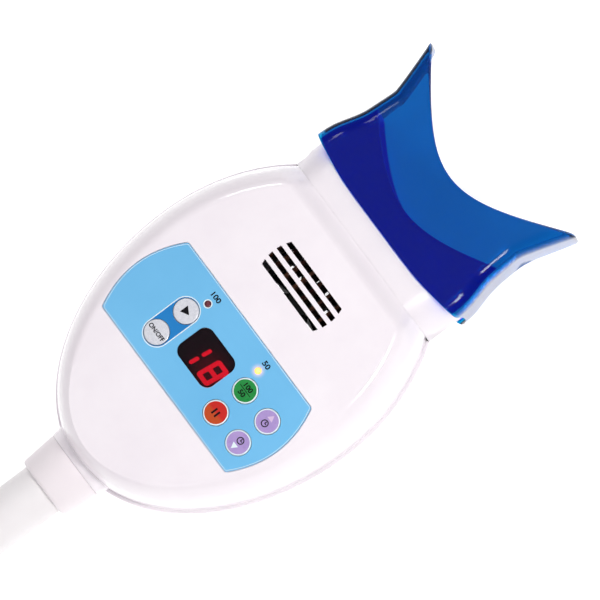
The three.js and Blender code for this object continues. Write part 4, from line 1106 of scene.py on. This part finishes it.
pill = {"radius": 0.0068, "line": 0.00045}
pillLine = ringInk(pillFace("pill_line", pill["radius"]), pill["line"])
pillFill = ringInk(pillFace("pill_fill", pill["radius"]), pill["line"], inner=True)
cutWith(pillFill, holes)
ledRing = ringInk(discFace("led_ring", *indicators["high"], 0.0021), 0.0005)
# the white print, with the painted edge highlight joined in
whiteInkAndHighlight = joinUp("film_print_white_and_edge_highlight", paintedEdgeHighlight, pillLine, ledRing)


def words(name, text, x, y, height, wide, bold=0.0001):
    # plain characters that read towards the right hand, with their tops towards the shield
    bpy.ops.object.text_add(location=(0, 0, 0))
    made = bpy.context.object
    made.data.body = text
    made.data.size = height * sizePerHeight
    made.data.align_x = "CENTER"
    made.data.align_y = "CENTER"
    made.data.offset = bold
    made.data.resolution_u = 4
    bpy.ops.object.convert(target="MESH")
    made = bpy.context.object
    spans = [[v.co[k] for v in made.data.vertices] for k in (0, 1)]
    middle = [(min(span) + max(span)) / 2 for span in spans]

    def turned(co):
        return Vector((x + co.y - middle[1], y - (co.x - middle[0]) * wide, printZ))

    moveEach(made, turned)
    made.name = name
    openEdit(made)
    selectAll()
    bpy.ops.mesh.remove_doubles(threshold=tiny)
    closeEdit()
    return raised(made, ink)


labels = [words("label", text, 0.17225, y, 0.0025, 1.15) for text, y in (("100", 0.019), ("50", -0.0192))]
blackInk = joinUp("film_print_black", *labels)
for piece, material in ((whiteInkAndHighlight, printWhite), (pillFill, printBlue), (blackInk, printBlack)):
    dress(piece, material)
    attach(piece, "head")
pillFill.name = "film_print_blue"
print("keypad film")


# keys

dome = [[0.0335, 0.00585], [0.03361, 0.0058], [0.03369, 0.00568], [0.03374, 0.00545], [0.03376, 0.00524],
        [0.03381, 0.0042], [0.03385, 0.0032], [0.03388, 0.0021], [0.0339, 0.001], [0.0339, 0.0003]]
under = [[0.0269, 0.0016], [0.0293, 0.0016], [0.0293, 0.0068], [0.0302, 0.0068], [0.0302, 0.00585]]
keyInk = 0.00006
keyRimFrom = 0.0053


def domeZ(radius):
    for (z0, r0), (z1, r1) in zip(dome, dome[1:]):
        if r1 <= radius <= r0:
            return mix(z0, z1, (r0 - radius) / (r0 - r1))
    return dome[-1][0] if radius < dome[-1][1] else dome[0][0]


def ontoDome(piece, x, y):
    # the print lies on the dome
    low = min(v.co.z for v in piece.data.vertices)

    def laid(co):
        lift = keyInk if co.z > low + ink / 2 else -keyInk
        return Vector((co.x, co.y, domeZ(math.hypot(co.x - x, co.y - y)) + lift))

    moveEach(piece, laid)


def flatBar(name, x, y, alongX, alongY):
    piece = flatRect(name, (x, y, printZ), alongX, alongY)
    openEdit(piece)
    selectAll()
    bpy.ops.mesh.subdivide(number_cuts=5)
    closeEdit()
    return raised(piece, ink)


def triangle(name, x, y, radius, turn):
    piece = discFace(name, x, y, radius, 3, turn)
    roundCorners(piece, radius * 0.08, 3)
    return raised(piece, ink)


def clockSign(name, x, y, radius):
    ring = ringInk(discFace(name, x, y, radius, points=48), radius * 0.28)
    long = flatBar("hand", x + radius * 0.3, y, radius * 0.72, radius * 0.26)
    short = flatBar("hand", x, y - radius * 0.25, radius * 0.26, radius * 0.6)
    return joinUp(name, ring, long, short)


rimPart, blackPart, arrowPart = 1, 2, 3


def keySigns(name, x, y):
    # the print of one key: each sign with the place of its material
    if name == "on_off":
        return [(words("sign", "ON/OFF", x, y, 0.0021, wide=0.92, bold=0.00008), blackPart)]
    if name == "start":
        return [(triangle("sign", x, y + 0.0003, 0.0026, math.pi), blackPart)]
    if name == "high_low":
        line = flatBar("sign", x, y, 0.00032, 0.0074)
        top = words("sign", "100", x + 0.0019, y, 0.0023, wide=1.1, bold=0.00009)
        low = words("sign", "50", x - 0.0019, y, 0.0023, wide=1.1, bold=0.00009)
        return [(sign, blackPart) for sign in (line, top, low)]
    if name == "pause":
        return [(flatBar("sign", x, y + side * 0.001, 0.0034, 0.0009), blackPart) for side in (-1, 1)]
    forward = 1 if name == "time_up" else -1
    arrow = triangle("sign", x + forward * 0.0022, y, 0.0019, -forward * math.pi / 2)
    return [(arrow, arrowPart), (clockSign("clock", x - forward * 0.0014, y, 0.0018), blackPart)]


keyFaces = {
    "on_off": (keySilver, "key_silver"), "start": (keySilver, "key_silver"),
    "high_low": (keyGreen, "key_green"), "pause": (keyRed, "key_red"),
    "time_up": (keyLavender, "key_lavender"), "time_down": (keyLavender, "key_lavender"),
}
for name, (x, y) in keys.items():
    face, slotName = keyFaces[name]
    cap = turnedPiece(name + "_cap", under + dome, centre=(x, y, 0), axis="Z", points=80)
    bevelEdges(cap, 0.00006, 1, 50)
    smoothOver(cap)
    arrowInk = printPale if name == "time_up" else printWhite
    dress(cap, face, keySilver if face == keySilver else printWhite, printBlack, arrowInk)
    dressFaces(cap, rimPart, lambda f: math.hypot(f.center.x - x, f.center.y - y) > keyRimFrom)
    signs = []
    for sign, index in keySigns(name, x, y):
        ontoDome(sign, x, y)
        dress(sign, face, printWhite, printBlack, arrowInk)
        dressFaces(sign, index, lambda f: True)
        signs.append(sign)
    cap = joinUp("key_cap_" + name, cap, *signs)
    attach(cap, name)
    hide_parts("key_" + name)
print("keys")


# window, digits and indicators

pane = roundedPlate("window_pane", window["x"], 0, window["width"], window["length"], window["corner"],
                    window["lowZ"], window["topZ"])
bevelEdges(pane, 0.00035, 3, 50)
smoothOver(pane)
dress(pane, windowSmoked)
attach(pane, "head")
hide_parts("display_window")

digit = {"height": 0.0124, "width": 0.0078, "bar": 0.0021, "gap": 0.0016, "long": 0.0049, "slant": 7,
         "x": 0.1506, "oneY": 0.0051, "eightY": -0.007, "z": 0.02903, "thick": 0.0001,
         "corner": 0.0016, "holeCorner": 0.0004}


def leanOver(piece):
    lean = math.tan(math.radians(digit["slant"]))
    moveEach(piece, lambda co: Vector((co.x, co.y - (co.x - digit["x"]) * lean, co.z)))
    return piece


def litOne(name, centreY):
    # the two bars on the digit's right hand side, with pointed ends
    bar = digit["bar"] * 0.9
    y = centreY - (digit["width"] - digit["bar"]) / 2
    bars = []
    for side in (1, -1):
        x = digit["x"] + side * (digit["long"] + digit["gap"]) / 2
        piece = flatRect("segment", (x, y, digit["z"]), digit["long"], bar)
        roundCorners(piece, bar * 0.4, 2)
        bars.append(piece)
    return raised(leanOver(joinUp(name, *bars)), digit["thick"])


def litEight(name, centreY):
    # the outer plate with its two windows cut out
    bar, lowZ, highZ = digit["bar"], digit["z"], digit["z"] + digit["thick"]
    piece = roundedPlate(name, digit["x"], centreY, digit["height"], digit["width"], digit["corner"], lowZ,
                         highZ)
    inner = ((digit["height"] - 3 * bar) / 2, digit["width"] - 2 * bar)
    for side in (-1, 1):
        middle = digit["x"] + side * (inner[0] + bar) / 2
        hole = roundedPlate("hole", middle, centreY, *inner, digit["holeCorner"], lowZ - 0.001, highZ + 0.001)
        cutWith(piece, hole)
        throwAway(hole)
    return leanOver(piece)


digits = joinUp("lit_digits", litOne("one", digit["oneY"]), litEight("eight", digit["eightY"]))
dress(digits, digitRed)
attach(digits, "head")

for name, (x, y) in indicators.items():
    dot = turnedPiece("indicator_dot_" + name, [
        [0.0236, 0.002], [0.0246, 0.002], [0.0246, 0.0015], [0.0332, 0.0015], [0.03355, 0.00138],
        [0.03375, 0.0011], [0.03385, 0.0007], [0.03388, 0.0002],
    ], centre=(x, y, 0), axis="Z", points=48)
    smoothOver(dot)
    dress(dot, indicatorDark if name == "high" else indicatorLit)
    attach(dot, "head")
    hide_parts("indicator_" + name)
print("window, digits and indicators")

throwAway(upperSkin, upperLoop, lowerLoop, lowBlock, recess, holes, slots, neck, inletSlots, wellOuter, wells,
          block, drill)


# finishes of the nodes that keep their CAD shape; those not listed are black plastic

nodeFinish = {
    "heat_sink": sinkMetal, "led_board": boardWhite, "reflector": reflectorBright,
    "display_module": displayBlack, "control_board": boardGreen, "driver_board": boardGreen,
    "terminal_block": terminalGreen, "ribbon_cable": cableGrey, "led_cable": cableRed,
    "swivel_spindle": screwSteel, "swivel_bush": bushNylon, "friction_washer": washerRubber,
    "spindle_nut": nutBrass, "lamp_lead": cableGrey,
}
for name, node in nodes.items():
    if node.hide_render:
        continue
    if name.startswith("switch_"):
        dress(node, switchGrey)
    else:
        dress(node, screwSteel if "screw" in name else nodeFinish.get(name, blackPlastic))
print("inner pieces")

letGo()
bpy.context.view_layer.update()
